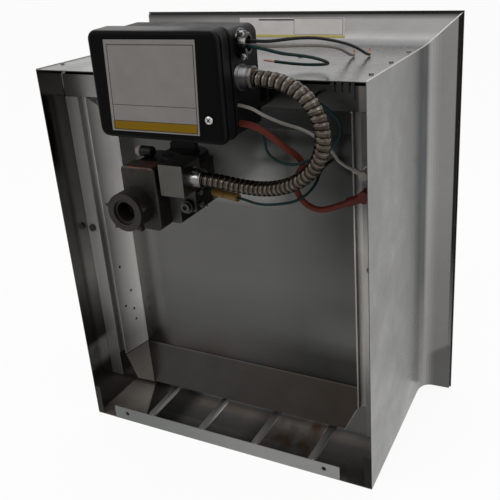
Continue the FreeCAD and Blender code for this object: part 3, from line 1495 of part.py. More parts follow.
valve_right, plate_y = sized("valve_right", "plenum_y")
splice_start = Vector(6, 28, 112)
splice_end = Vector(57, 11, 114)
new_wire("valve_ground_wire", whole_path(
    (valve_right, 30, 113.5),
    [splice_start, splice_end, (84, 3, 112), (110, 4, 115), (132, 13, 119), (141, 38, 129), (136, 66, 140)],
    (136, plate_y, 140)), number("valve_ground_diameter"))

clamp_y, clamp_z, lead_start = sized("-clamp_y", "%s + clamp_z" % BEND_Z, CLAMP_START)
lead_d = number("lead_diameter")
new_wire("black_lead", whole_path(
    (lead_start, clamp_y, clamp_z + 3.2),
    [(129, clamp_y, 307), (138, -24, 305.5), (147, 2, 303), (155, 30, 298), (162, 62, 289), (167, 93, 279),
     (169, 120, 267.5), (168, 137, 260.5)],
    (167, 150, 257.3)), lead_d)
new_wire("white_lead", whole_path(
    (lead_start, clamp_y + 2.8, clamp_z - 1.8),
    [(128, clamp_y + 2.8, 302.3), (136, -20, 298.5), (143, 6, 294.5), (148, 34, 289.5), (152, 64, 283),
     (153, 93, 275), (152, 117, 265.5), (150.5, 132, 259.8)],
    (150, 143, 257.6)), lead_d)
new_wire("green_lead", whole_path(
    (lead_start, clamp_y - 2.8, clamp_z - 1.8),
    [(126, clamp_y - 3, 302), (142, -36, 294.5), (152, -16, 289), (159, 4, 283), (164, 24, 275.5),
     (161, 43, 268.5), (147, 53, 265), (130, 51, 265), (114, 43, 267.5)],
    (100, 33, 271.5)), lead_d)

# Splices that join the valve ground wire on its long straight run
splice_axis = (splice_end - splice_start).normalize()
splice_length, splice_radius = sized("splice_length", "splice_radius")
splice_bore = number("valve_ground_diameter / 2 + splice_clearance")
splices = []
for i in range(2):
    first = splice_start + splice_axis * number("splice_offset + %d * (splice_length + splice_gap)" % i)
    sleeve = Part.makeCylinder(splice_radius, splice_length, first, splice_axis)
    splices.append(sleeve.cut(Part.makeCylinder(splice_bore, splice_length, first, splice_axis)))
splice_node = doc.addObject("Part::Feature", "ground_splices")
splice_node.Label = "ground_splices"
splice_node.Shape = Part.makeCompound(splices)
place(splice_node)
nodes.append(splice_node)

# Electrode wires, bent round the frame to the tile face
for label, z in (("spark_wire", "spark_z"), ("sensor_rod", "sensor_z")):
    x, height, tail, turn_y = sized(ELECTRODE_X, z, TAIL_Y, "%s + electrode_clear" % FRAME_FACE)
    tip_x, tip_y = sized("%s - electrode_bend" % ELECTRODE_X, "%s + electrode_gap" % FRAME_FACE)
    solid, path, radii = wire_solid([Vector(x, tail, height), Vector(x, turn_y, height),
                                     Vector(tip_x, turn_y, height), Vector(tip_x, tip_y, height)],
                                    number("electrode_wire"))
    rod = doc.addObject("Part::Feature", label)
    rod.Label = label
    rod.Shape = solid
    place(rod)
    nodes.append(rod)

# Armoured conduit: ribbed outside, plain bore, ends seated in the two fittings
entry_y, entry_z = sized("-entry_y", "%s + entry_z" % BEND_Z)
valve_y, valve_entry_z = sized(VALVE_Y, "valve_entry_z")
conduit_start = number("box_right + fitting_flange + fitting_length - fitting_socket")
conduit_end = number("junction_right + fitting_flange + fitting_length - fitting_socket")
conduit_points = whole_path(
    (conduit_start, entry_y, entry_z),
    [(conduit_start + 25, entry_y, entry_z), (158, -48.5, 266), (178.5, -47, 250), (189, -45, 226),
     (187, -41, 200), (173, -35, 175), (145, -26, 153), (105, -12, 138), (65, -2, 134.5),
     (conduit_end + 29, valve_y, valve_entry_z)],
    (conduit_end, valve_y, valve_entry_z))
conduit_edges, conduit_radii = path_edges(conduit_points)
conduit_path = Part.Wire(conduit_edges)
rib_count = int(conduit_path.Length / number("conduit_pitch"))
crest, valley, bore = sized("conduit_diameter / 2", "conduit_valley / 2", "conduit_bore / 2")
RIB_STATIONS = ((0.02, valley), (0.2, crest), (0.75, crest), (0.93, valley))
FINE = 8000
fine_points = conduit_path.discretize(Number=FINE + 1)
if (fine_points[0] - conduit_points[0]).Length > 1:
    fine_points.reverse()
steady_axis = Vector(0, 1, 0)
rings, centres = [], []
stations = [(i + share, radius) for i in range(rib_count) for share, radius in RIB_STATIONS]
stations = [(0, valley)] + stations + [(rib_count, valley)]
for share, radius in stations:
    at = min(FINE, int(round(share / rib_count * FINE)))
    centre = fine_points[at]
    along = (fine_points[min(FINE, at + 3)] - fine_points[max(0, at - 3)]).normalize()
    rings.append(ring(centre, along, steady_axis, radius))
    centres.append(centre)
ribbed = Part.makeLoft(rings, True, True)
first_ring = ring(conduit_points[0], (conduit_points[1] - conduit_points[0]).normalize(), steady_axis, bore)
conduit_solid = ribbed.cut(conduit_path.makePipeShell([first_ring], True, False)).Solids[0]
conduit = doc.addObject("Part::Feature", "flexible_conduit")
conduit.Label = "flexible_conduit"
conduit.Shape = conduit_solid
place(conduit)
nodes.append(conduit)
reach = 40
self_gap = min((a - b).Length for i, a in enumerate(centres) for b in centres[i + reach:]) - 2 * crest
print("flexible_conduit ribs %d, length %.0f, least bend radius %.1f, least self gap %.1f, valid %s"
      % (rib_count, conduit_path.Length, min(conduit_radii), self_gap, conduit_solid.isValid()))

doc.recompute()

# Every feature must be sound and every pocket must take material away before the pieces are written
problems = []
for obj in doc.Objects:
    if "Invalid" in obj.State or "Error" in obj.State:
        problems.append("%s %s" % (obj.Label, obj.State))
for body, feature in cuts:
    before = feature.BaseFeature.Shape.Volume
    if before - feature.Shape.Volume < 1e-3:
        problems.append("%s takes nothing from %s" % (feature.Label, body.Label))
for node in nodes:
    if node.Shape.isNull() or not node.Shape.isValid():
        problems.append("%s has no valid shape" % node.Label)
if problems:
    raise RuntimeError("; ".join(problems))

os.makedirs("parts", exist_ok=True)
for node in nodes:
    node.Shape.exportStep(os.path.join("parts", node.Label + ".step"))
print(len(nodes), "nodes written")
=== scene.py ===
import json
import math

import bmesh
import bpy
from mathutils import Matrix, Vector
from mathutils.bvhtree import BVHTree


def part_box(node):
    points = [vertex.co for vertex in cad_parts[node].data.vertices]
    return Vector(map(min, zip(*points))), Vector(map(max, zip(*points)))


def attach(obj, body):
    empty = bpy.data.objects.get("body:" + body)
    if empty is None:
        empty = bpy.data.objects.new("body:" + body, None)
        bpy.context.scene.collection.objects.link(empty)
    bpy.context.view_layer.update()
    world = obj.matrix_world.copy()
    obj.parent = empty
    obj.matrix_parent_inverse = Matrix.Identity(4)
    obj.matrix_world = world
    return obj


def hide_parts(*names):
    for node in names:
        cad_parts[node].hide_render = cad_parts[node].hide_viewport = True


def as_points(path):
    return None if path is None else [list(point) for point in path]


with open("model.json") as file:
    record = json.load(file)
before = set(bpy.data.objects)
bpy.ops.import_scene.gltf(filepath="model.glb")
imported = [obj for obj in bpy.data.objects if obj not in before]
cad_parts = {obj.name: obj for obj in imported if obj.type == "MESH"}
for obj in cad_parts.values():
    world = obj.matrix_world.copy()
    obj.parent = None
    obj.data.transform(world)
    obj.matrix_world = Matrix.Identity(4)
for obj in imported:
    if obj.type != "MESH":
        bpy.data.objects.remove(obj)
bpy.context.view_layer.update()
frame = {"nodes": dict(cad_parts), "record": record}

nodes = frame["nodes"]
scene = bpy.context.scene
MM = 0.001
X, Y, Z = 0, 1, 2

# The source's own millimetres count from the middle of the burner and from the rear rim of the shell
PLENUM_Y = 90
plenum_low, plenum_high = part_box("plenum_box")
REAR = plenum_low[1] - PLENUM_Y * MM
LIFT = (plenum_low[2] + plenum_high[2]) / 2


def at(x, y, z):
    return Vector((x * MM, y * MM + REAR, z * MM + LIFT))


def add_object(name, data):
    obj = bpy.data.objects.new(name, data)
    scene.collection.objects.link(obj)
    return obj


def mesh_object(name, bm):
    """An object from a built mesh, with its faces turned outwards."""
    bmesh.ops.recalc_face_normals(bm, faces=bm.faces)
    mesh = bpy.data.meshes.new(name)
    bm.to_mesh(mesh)
    bm.free()
    return add_object(name, mesh)


# Camera at the photograph's place
CAMERA_PLACE = (495.18, -743.65, 440.54)
CAMERA_RIGHT = Vector((0.88132, 0.46661, -0.07446))
CAMERA_UP = Vector((-0.13300, 0.39600, 0.90800))
CAMERA_BACK = Vector((0.45336, -0.79062, 0.41157))
FOCAL_PIXELS = 786.6
IMAGE_PIXELS = 500
camera_data = bpy.data.cameras.new("camera")
camera_data.sensor_width = 36
camera_data.lens = camera_data.sensor_width * FOCAL_PIXELS / IMAGE_PIXELS
camera_data.clip_end = 30
camera = add_object("camera", camera_data)
turn = Matrix((CAMERA_RIGHT, CAMERA_UP, CAMERA_BACK)).transposed().to_4x4()
camera.matrix_world = Matrix.Translation(at(*CAMERA_PLACE)) @ turn
scene.camera = camera


class Finish:
    """A material whose colour, roughness and bump come from patterns in the shared frame."""

    def __init__(self, name, metallic=0.0, roughness=0.5, specular=0.5):
        self.name = name
        self.material = bpy.data.materials.new(name)
        self.material.use_nodes = True
        self.tree = self.material.node_tree
        self.shader = self.tree.nodes["Principled BSDF"]
        self.shader.inputs["Metallic"].default_value = metallic
        self.shader.inputs["Roughness"].default_value = roughness
        self.shader.inputs["Specular IOR Level"].default_value = specular
        coordinates = self.new("ShaderNodeTexCoord")
        self.place = coordinates.outputs["Object"]
        self.sheet = coordinates.outputs["UV"]

    def new(self, kind):
        return self.tree.nodes.new(kind)

    def feed(self, socket, value):
        if isinstance(value, bpy.types.NodeSocket):
            self.tree.links.new(value, socket)
        else:
            socket.default_value = value

    def noise(self, scale, stretch=(1, 1, 1), detail=3, roughness=0.55):
        mapping = self.new("ShaderNodeMapping")
        self.feed(mapping.inputs["Vector"], self.place)
        self.feed(mapping.inputs["Scale"], stretch)
        pattern = self.new("ShaderNodeTexNoise")
        self.feed(pattern.inputs["Vector"], mapping.outputs["Vector"])
        self.feed(pattern.inputs["Scale"], scale)
        self.feed(pattern.inputs["Detail"], detail)
        self.feed(pattern.inputs["Roughness"], roughness)
        return pattern.outputs["Fac"]

    def span(self, value, low, high, start=0.0, end=1.0):
        node = self.new("ShaderNodeMapRange")
        for name, number in (("Value", value), ("From Min", low), ("From Max", high),
                             ("To Min", start), ("To Max", end)):
            self.feed(node.inputs[name], number)
        return node.outputs["Result"]

    def maths(self, operation, first, second=0.0):
        node = self.new("ShaderNodeMath")
        node.operation = operation
        self.feed(node.inputs[0], first)
        self.feed(node.inputs[1], second)
        return node.outputs[0]

    def both(self, first, second):
        return self.maths("MULTIPLY", first, second)

    def axis(self, index, vector=None):
        node = self.new("ShaderNodeSeparateXYZ")
        self.feed(node.inputs[0], vector or self.place)
        return node.outputs[index]

    def along(self, index, low, high):
        """A ramp from nothing to one between two places on an axis, in the source's millimetres."""
        shift = (0.0, REAR, LIFT)[index]
        return self.span(self.axis(index), low * MM + shift, high * MM + shift)

    def band(self, index, start, full, fading, end):
        """One between two places on an axis, with a ramp at either end."""
        return self.both(self.along(index, start, full), self.along(index, end, fading))

    def facing(self, index, sign, low=0.35, high=0.75):
        """One on faces that look along an axis, nothing on those square to it."""
        normal = self.new("ShaderNodeNewGeometry").outputs["True Normal"]
        return self.span(self.axis(index, normal), low * sign, high * sign)

    def window(self, index, low, high):
        """One between two places across a printed sheet."""
        value = self.axis(index, self.sheet)
        return self.both(self.maths("GREATER_THAN", value, low), self.maths("LESS_THAN", value, high))

    def mix(self, share, first, second, kind="MIX"):
        node = self.new("ShaderNodeMix")
        node.data_type = "RGBA"
        node.blend_type = kind
        self.feed(node.inputs["Factor"], share)
        self.feed(node.inputs["A"], first)
        self.feed(node.inputs["B"], second)
        return node.outputs["Result"]

    def scale(self, base, share, *factors):
        """Multiplies a colour by one factor, or one for each channel, where the share is one."""
        full = factors if len(factors) == 3 else factors * 3
        return self.mix(share, base, (*full, 1.0), "MULTIPLY")

    def colour(self, value):
        self.feed(self.shader.inputs["Base Color"], value)

    def rough(self, value):
        self.feed(self.shader.inputs["Roughness"], value)

    def bump(self, height, strength, distance):
        node = self.new("ShaderNodeBump")
        self.feed(node.inputs["Height"], height)
        node.inputs["Strength"].default_value = strength
        node.inputs["Distance"].default_value = distance
        self.feed(self.shader.inputs["Normal"], node.outputs["Normal"])


# Share of the fine grain in a metal's colour, its size, its tones and its stretch along each axis
BRUSHED = 0.25
GRAIN_SIZE = 140
GRAIN_DARK = 0.72
GRAIN_LIGHT = 1.25
GRAIN_X = (0.05, 1, 1)
GRAIN_Y = (1, 0.05, 1)
GRAIN_Z = (1, 1, 0.05)


def shade(colour, factor):
    return tuple(min(1.0, c * factor) for c in colour[:3]) + (1.0,)


def metal(name, colour, roughness, grain=(1, 1, 1), uneven=0.12, smudge=9, metallic=1.0, tint=None):
    """Rolled or cast metal: slow smudges, a fine grain along one axis and uneven gloss."""
    finish = Finish(name, metallic=metallic)
    slow = finish.noise(smudge, detail=4)
    fine = finish.noise(GRAIN_SIZE, grain, detail=5, roughness=0.7)
    cloud = finish.mix(slow, shade(colour, 1 - uneven), shade(colour, 1 + uneven))
    streaks = finish.mix(fine, shade(colour, GRAIN_DARK), shade(colour, GRAIN_LIGHT))
    streaked = finish.mix(BRUSHED, cloud, streaks)
    finish.colour(tint(finish, streaked) if tint else streaked)
    worn = finish.noise(smudge * 2.3, detail=5)
    finish.rough(finish.span(worn, 0.3, 0.7, roughness * 0.8, roughness * 1.25))
    finish.bump(fine, 0.06, 0.0004)
    return finish


def paint(name, colour, roughness, grain=900, depth=0.1, uneven=0.15, smudge=25, specular=0.3, tint=None):
    """Plastic, rubber, ceramic or lacquer with a fine texture."""
    finish = Finish(name, specular=specular)
    slow = finish.noise(smudge, detail=4)
    fine = finish.noise(grain, detail=2)
    mottled = finish.mix(slow, shade(colour, 1 - uneven), shade(colour, 1 + uneven))
    finish.colour(tint(finish, mottled) if tint else mottled)
    finish.rough(finish.span(slow, 0.3, 0.7, roughness * 0.85, roughness * 1.15))
    finish.bump(fine, depth, 0.0005)
    return finish


# Colours that lie over the plain ones; the rib colours are painted light and the cover top colour a painted
# sheen
RUST = (0.1, 0.036, 0.02, 1.0)
INSULATION = (0.2, 0.165, 0.155, 1.0)
RIB_LIT_REAR = (0.2, 0.198, 0.19, 1.0)
RIB_SHADED_DEEP = (0.11, 0.108, 0.1, 1.0)
STRIP_GREY = (0.235, 0.235, 0.23, 1.0)
STRIP_GREEN = (0.12, 0.13, 0.12, 1.0)
COVER_TOP_SHEEN = (0.1, 0.096, 0.094, 1.0)


def perforated(finish, base):
    """Rows of small burner holes, staggered, over the open face of a tile, as dark spots of painted shade."""
    HOLE_PITCH = 0.0042
    turns = 2 * math.pi / HOLE_PITCH
    waves = [finish.maths("SINE", finish.maths("MULTIPLY", finish.axis(i), turns)) for i in (X, Z)]
    hole = finish.span(finish.both(*waves), 0.3, 0.5)
    return finish.scale(base, finish.both(hole, finish.facing(Y, 1)), 0.08, 0.07, 0.06)


def scorched(finish, base):
    """Straw and blue heat colours in slow patches."""
    patch = finish.span(finish.noise(30, detail=5), 0.42, 0.62)
    return finish.scale(base, patch, 1.25, 0.85, 0.6)


def rusty_lit_top(finish, base):
    """A brown stain on the upper face, painted light on faces that look up, and pits in the cast skin."""
    upper = finish.both(finish.facing(Z, 1), finish.along(Z, 140, 148))
    stain = finish.both(upper, finish.span(finish.noise(90, detail=4), 0.45, 0.6))
    pits = finish.span(finish.noise(700, detail=2), 0.62, 0.7)
    # painted light on faces that look up
    base = finish.scale(base, finish.facing(Z, 1), 1.5)
    return finish.scale(finish.mix(stain, base, RUST), pits, 0.5)


def tarnish_and_groove_shade(finish, base):
    """Bright crowns over slow tarnish, painted shade on the flanks, in the grooves and underneath, darker low
    down.
    """
    node = finish.new("ShaderNodeAttribute")
    node.attribute_name = "crown"
    height = node.outputs["Fac"]
    tarnish = finish.span(finish.noise(160, detail=4), 0.35, 0.65)
    base = finish.scale(base, tarnish, 0.62, 0.53, 0.46)
    # painted shade on the flanks, below the crowns
    base = finish.scale(base, finish.span(height, 0.99, 0.85), 0.5, 0.46, 0.42)
    # painted shade on faces that look down
    base = finish.scale(base, finish.facing(Z, -1), 0.4)
    base = finish.scale(base, finish.along(Z, 255, 225), 0.8, 0.75, 0.7)
    # painted shade in the grooves
    return finish.scale(base, finish.span(height, 0.6, 0.2), 0.12)


def lit_above_shaded_below(finish, base):
    """Painted light on faces that look up, painted shade on faces that look down."""
    base = finish.scale(base, finish.facing(Z, 1, 0.2, 0.8), 1.6)
    return finish.scale(base, finish.facing(Z, -1, 0.0, 0.6), 0.2)


def pale_tip(finish, base):
    """The open end of a wire nut shows the pale insulation inside."""
    nut_low, nut_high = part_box("wire_nut")
    left = nut_low[0] / MM
    tip = 0.3 * (nut_high[0] - nut_low[0]) / MM
    return finish.mix(finish.along(X, left + tip, left + tip - 1), base, INSULATION)


FINISHES = (
    metal("sheet_steel", (0.21, 0.207, 0.2), 0.3, GRAIN_Y),
    metal("hot_steel", (0.24, 0.2, 0.165), 0.38, tint=scorched),
    metal("bright_screws", (0.22, 0.22, 0.215), 0.3, smudge=90, uneven=0.3),
    # Zinc castings take painted light above and painted shade below
    metal("zinc_casting", (0.17, 0.168, 0.165), 0.24, uneven=0.35, smudge=70, tint=lit_above_shaded_below),
    # Conduit: painted shade on the flanks, in the grooves and underneath
    metal("conduit_steel", (0.15, 0.144, 0.134), 0.26, uneven=0.3, smudge=70, tint=tarnish_and_groove_shade),
    # Grey casting: a rust stain with painted light on faces that look up
    metal("grey_casting", (0.034, 0.031, 0.028), 0.55, uneven=0.3, smudge=80, tint=rusty_lit_top),
    metal("dark_casting", (0.016, 0.016, 0.0155), 0.5, uneven=0.35, smudge=80),
    paint("black_plastic", (0.005, 0.0048, 0.0053), 0.45, depth=0.22, specular=0.08),
    paint("tile_ceramic", (0.62, 0.56, 0.43), 0.85, grain=500, depth=0.3, tint=perforated),
    paint("white_ceramic", (0.62, 0.61, 0.57), 0.2, depth=0.03),
    paint("fibre", (0.5, 0.48, 0.43), 0.95, grain=400, depth=0.6),
    metal("brass", (0.4, 0.28, 0.1), 0.3, uneven=0.2, smudge=80),
    metal("black_pipe", (0.05, 0.048, 0.045), 0.55, uneven=0.3, smudge=80),
    paint("board_green", (0.02, 0.14, 0.045), 0.35),
    metal("core_grey", (0.16, 0.16, 0.16), 0.5),
    paint("red_rubber", (0.06, 0.008, 0.006), 0.5, specular=0.15),
    paint("red_wire", (0.068, 0.011, 0.006), 0.5, uneven=0.3, specular=0.12),
    paint("white_wire", (0.165, 0.152, 0.135), 0.5, uneven=0.2, specular=0.2),
    paint("green_wire", (0.0025, 0.016, 0.0155), 0.45, specular=0.12),
    paint("black_wire", (0.006, 0.006, 0.007), 0.45, specular=0.12),
    paint("yellow_nylon", (0.12, 0.068, 0.015), 0.4, uneven=0.3, specular=0.2),
    metal("copper", (0.3, 0.15, 0.09), 0.35, uneven=0.3, smudge=200),
)
materials = {finish.name: finish for finish in FINISHES}

slot_of = {row["node"]: row["material_slot"] for row in frame["record"]["subparts"]}


def dress(obj, finish):
    obj.data.materials.clear()
    obj.data.materials.append(finish.material)


for name, obj in nodes.items():
    dress(obj, materials[slot_of[name]])


# Sheet metal node by node: mill finish, darker edges, stains, heat marks, painted light and painted shade as
# the photograph shows them
def cut_edges(finish, base):
    """Sheet edges that look to the rear are darker, and darker still at the corner tabs at the foot."""
    rear = finish.facing(Y, -1)
    base = finish.scale(base, rear, 0.35)
    return finish.scale(base, finish.both(rear, finish.along(Z, -200, -208)), 0.22)


def flare_bend(finish):
    """The stretch of a side panel that bends outwards."""
    return finish.band(Y, 184, 212, 234, 240)


def right_tint(finish, base):
    """Painted shade along the bend of the flare and in a rim that fades towards the foot, a painted highlight
    on the flare.
    """
    base = finish.scale(base, finish.along(Z, -60, -250), 1.1)
    bend = flare_bend(finish)
    # painted shade along the bend of the flare
    base = finish.scale(base, finish.both(bend, finish.along(Z, -250, -60)), 0.36, 0.38, 0.41)
    flare = finish.along(Y, 234, 244)
    # painted highlight on the flare, weaker low down
    base = finish.scale(base, flare, 1.75)
    base = finish.scale(base, finish.both(flare, finish.along(Z, 60, -220)), 0.66)
    # dark rim of painted shade
    rim = finish.both(finish.along(Y, 281, 282.5), finish.along(Z, -230, -40))
    return cut_edges(finish, finish.scale(base, rim, 0.05))


def left_tint(finish, base):
    """Inside, painted reflections brightest at half height, pale low down and dark at both ends; outside like
    the right panel.
    """
    outer = finish.scale(base, finish.facing(X, -1, 0.2, 0.6), 0.6)
    # painted reflections on the inside, by height
    base = finish.scale(outer, finish.along(Z, 10, 60), 0.66)
    base = finish.scale(base, finish.along(Z, 60, 230), 0.5)
    base = finish.scale(base, finish.band(Z, 5, -25, -40, -70), 1.4)
    base = finish.scale(base, finish.along(Z, -60, -130), 0.3)
    pale = finish.band(Z, -142, -150, -176, -190)
    base = finish.scale(base, pale, 8)
    bend = flare_bend(finish)
    # painted shade along the bend of the flare, outside
    outer = finish.scale(outer, bend, 0.4)
    inside = finish.both(finish.facing(X, 1, 0.2, 0.6), finish.along(Y, 235, 225))
    return cut_edges(finish, finish.mix(inside, outer, base))


def top_tint(finish, base):
    """Darker towards the left end and over the middle of the flat part, with a bent band and a dark rim of
    painted shade.
    """
    base = finish.scale(base, finish.along(X, -120, -190), 0.8)
    base = finish.scale(base, finish.both(finish.along(Y, 120, 90), finish.along(X, -60, 60)), 0.72)
    base = finish.scale(base, finish.along(Y, 277, 286), 0.12)
    band = finish.band(Y, 190, 216, 218, 246)
    return cut_edges(finish, finish.scale(base, band, 0.8, 0.82, 0.87))


def bottom_tint(finish, base):
    """Bright pan, stained at the right, with painted reflections, ribs painted as lit and painted shade; the
    hanging strip is greenish.
    """
    blot = finish.span(finish.noise(38, (1.6, 0.6, 1), detail=5), 0.38, 0.6)
    patch = finish.both(finish.band(X, 40, 60, 110, 140), finish.band(Y, 15, 40, 90, 130))
    base = finish.scale(base, finish.along(Y, 72, 20), 0.3)
    # painted reflection: bright on the left rear side of a slant line, dark beside it on the other side
    slant = finish.maths("ADD", finish.along(X, -235, -35), finish.along(Y, 0, 444))
    base = finish.scale(base, finish.both(finish.span(slant, 0.495, 0.505), finish.along(X, -80, -100)), 0.3)
    # painted reflection: a dark wedge up to the bead near x 40
    base = finish.scale(base, finish.band(X, 4, 36, 38, 40), 0.4)
    base = finish.scale(base, finish.both(patch, blot), 0.55, 0.36, 0.24)
    base = finish.scale(base, finish.span(slant, 0.505, 0.495), 3.2, 2.9, 2.7)
    # ribs painted as lit bars, less metallic, darker deeper in
    rise = finish.maths("SUBTRACT", finish.along(Z, -262, -242), finish.along(Y, 0, 660))
    rib = finish.span(rise, 0.155, 0.2)
    base = finish.mix(rib, base, finish.mix(finish.along(Y, 20, 80), RIB_LIT_REAR, RIB_SHADED_DEEP))
    finish.feed(finish.shader.inputs["Metallic"], finish.span(rib, 0.0, 1.0, 0.82, 0.2))
    # painted shade behind the deflector and on faces that look down
    base = finish.scale(base, finish.along(Y, 82, 93), 0.1)
    base = finish.scale(base, finish.facing(Z, -1), 0.5)
    strip = finish.both(finish.facing(Y, -1), finish.band(X, -188, -187, 177, 178))
    green = finish.along(X, 60, -150)
    plain = finish.mix(green, STRIP_GREY, STRIP_GREEN)
    return finish.mix(strip, base, plain)


def pan_tint(finish, base):
    """Darker towards the foot and the right, brown in the lower corners, painted light near the top and
    painted shadow under the control box.
    """
    left = finish.along(X, -132, -158)
    right = finish.along(X, 90, 150)
    base = finish.scale(base, finish.along(Z, -40, -190), 0.45)
    base = finish.scale(base, finish.along(X, 40, 150), 0.68)
    base = finish.scale(base, finish.both(left, finish.band(Z, -150, -110, 30, 70)), 1.8)
    base = finish.scale(base, finish.both(right, finish.along(Z, -20, 60)), 0.58)
    base = finish.scale(base, finish.both(right, finish.along(Z, -60, -100)), 1.5)
    base = finish.scale(base, finish.both(finish.along(X, -20, 120), finish.along(Z, -108, -140)), 0.45)
    # painted shade along the top of the pan
    base = finish.scale(base, finish.along(Z, 70, 110), 0.62)
    # a matte, lighter patch near the top: painted light
    painted_light_patch = finish.both(finish.band(X, -90, -50, 45, 80), finish.along(Z, 70, 100))
    finish.feed(finish.shader.inputs["Metallic"], finish.span(painted_light_patch, 0.0, 1.0, 1.0, 0.2))
    base = finish.scale(base, painted_light_patch, 3.4)
    # painted shadow of the control box, and a darker stretch beside it
    below = finish.band(X, -60, -30, 66, 90)
    base = finish.scale(base, finish.both(below, finish.along(Z, 124, 165)), 0.34)
    beside = finish.both(below, finish.along(X, 5, 40))
    base = finish.scale(base, finish.both(beside, finish.along(Z, 100, 130)), 0.74)
    corner = finish.both(finish.along(Z, -120, -200), finish.span(finish.noise(14, detail=5), 0.4, 0.6))
    return finish.scale(base, corner, 1.0, 0.8, 0.66)


def deflector_tint(finish, base):
    """A painted highlight along the upper bend and brown film to the right."""
    base = finish.scale(base, finish.along(X, -60, 140), 0.76, 0.66, 0.6)
    return finish.scale(base, finish.along(Z, DEFLECTOR_TOP - 2.5, DEFLECTOR_TOP - 1.5), 1.5)


def shield_tint(finish, base):
    """Walls in painted light growing inwards and upwards, painted shade by the grooves, darker to the foot;
    darker flanges with stains.
    """
    stain = finish.span(finish.noise(24, (1, 1, 0.3), detail=5), 0.35, 0.65)
    flange = finish.both(finish.facing(Y, -1), finish.along(Y, 44, 43))
    wall = finish.along(Y, 42.6, 44)
    # a darker strip of painted shade beside the groove, then painted light growing inwards and upwards
    base = finish.scale(base, wall, 0.48)
    base = finish.scale(base, finish.along(Y, 47, 86), 4.2)
    base = finish.scale(base, finish.both(wall, finish.along(Z, 20, 110)), 1.9)
    base = finish.scale(base, finish.along(Z, -95, -150), 0.5)
    base = finish.scale(base, flange, 0.62)
    base = finish.scale(base, finish.both(flange, finish.along(Z, -60, -150)), 0.5)
    return finish.scale(base, finish.both(flange, stain), 0.75)


def left_shield_tint(finish, base):
    """Painted shade in the groove between flange and wall."""
    groove = finish.both(finish.along(X, -184.5, -186), finish.along(Y, 42.6, 44))
    return finish.scale(shield_tint(finish, base), groove, 0.55)


def right_shield_tint(finish, base):
    """Painted light on the flange low down, darker behind the cables, and a dark margin of painted shade
    beside the panel.
    """
    base = finish.scale(shield_tint(finish, base), finish.along(Z, 90, 150), 0.45)
    base = finish.scale(base, finish.both(finish.facing(Y, -1), finish.along(Z, 110, 50)), 2.3, 2.25, 2.15)
    return finish.scale(base, finish.along(X, 204.5, 206), 0.3)


def gusset_tint(finish, base):
    """Brown film, with painted shade deepest beside the shell."""
    return finish.scale(base, finish.along(X, -165, -182), 0.5)


def valve_tint(finish, base):
    """The machined rear face is paler than the cast sides."""
    return finish.scale(base, finish.facing(Y, -1), 3.2)


def recess_shade(finish, base):
    """Painted shade in the cross recess of a screw head."""
    unshaded_depth = COVER_FRONT - 0.62 * SCREW_RISE
    shaded_depth = COVER_FRONT - 0.5 * SCREW_RISE
    return finish.scale(base, finish.along(Y, unshaded_depth, shaded_depth), 0.1)


def cover_tint(finish, base):
    """The face to the rear is deep black, the sides a little greyer and the upper face pale with a painted
    sheen.
    """
    face = finish.facing(Y, -1)
    finish.feed(finish.shader.inputs["Specular IOR Level"], finish.span(face, 0.0, 1.0, 0.08, 0.03))
    # painted sheen on the upper face
    upper = finish.both(finish.facing(Z, 1, 0.8, 0.97), finish.along(X, 70, 10))
    return finish.mix(upper, finish.scale(base, face, 0.4), COVER_TOP_SHEEN)


def fitting_tint(finish, base):
    """A painted highlight on one flank of the body beside the box, the squeeze end as tarnished as the
    conduit.
    """
    flank = finish.both(finish.facing(Y, -1, 0.3, 0.6), finish.facing(Z, 1, 0.25, 0.5))
    # painted light above, painted shade below, and the painted highlight on the flank
    base = finish.scale(lit_above_shaded_below(finish, base), flank, 5)
    base = finish.scale(base, finish.along(X, 112.5, 114), 0.4, 0.36, 0.32)
    # painted shade on faces that look along x
    return finish.scale(base, finish.facing(X, 1), 0.6)


def top_shield_tint(finish, base):
    """Dark over its length in painted shade, except at the left end, and bright on the short strip at the
    right end.
    """
    base = finish.scale(base, finish.along(X, -150, -110), 0.16)
    return finish.scale(base, finish.along(X, 193, 195), 3.6, 3.4, 3.2)


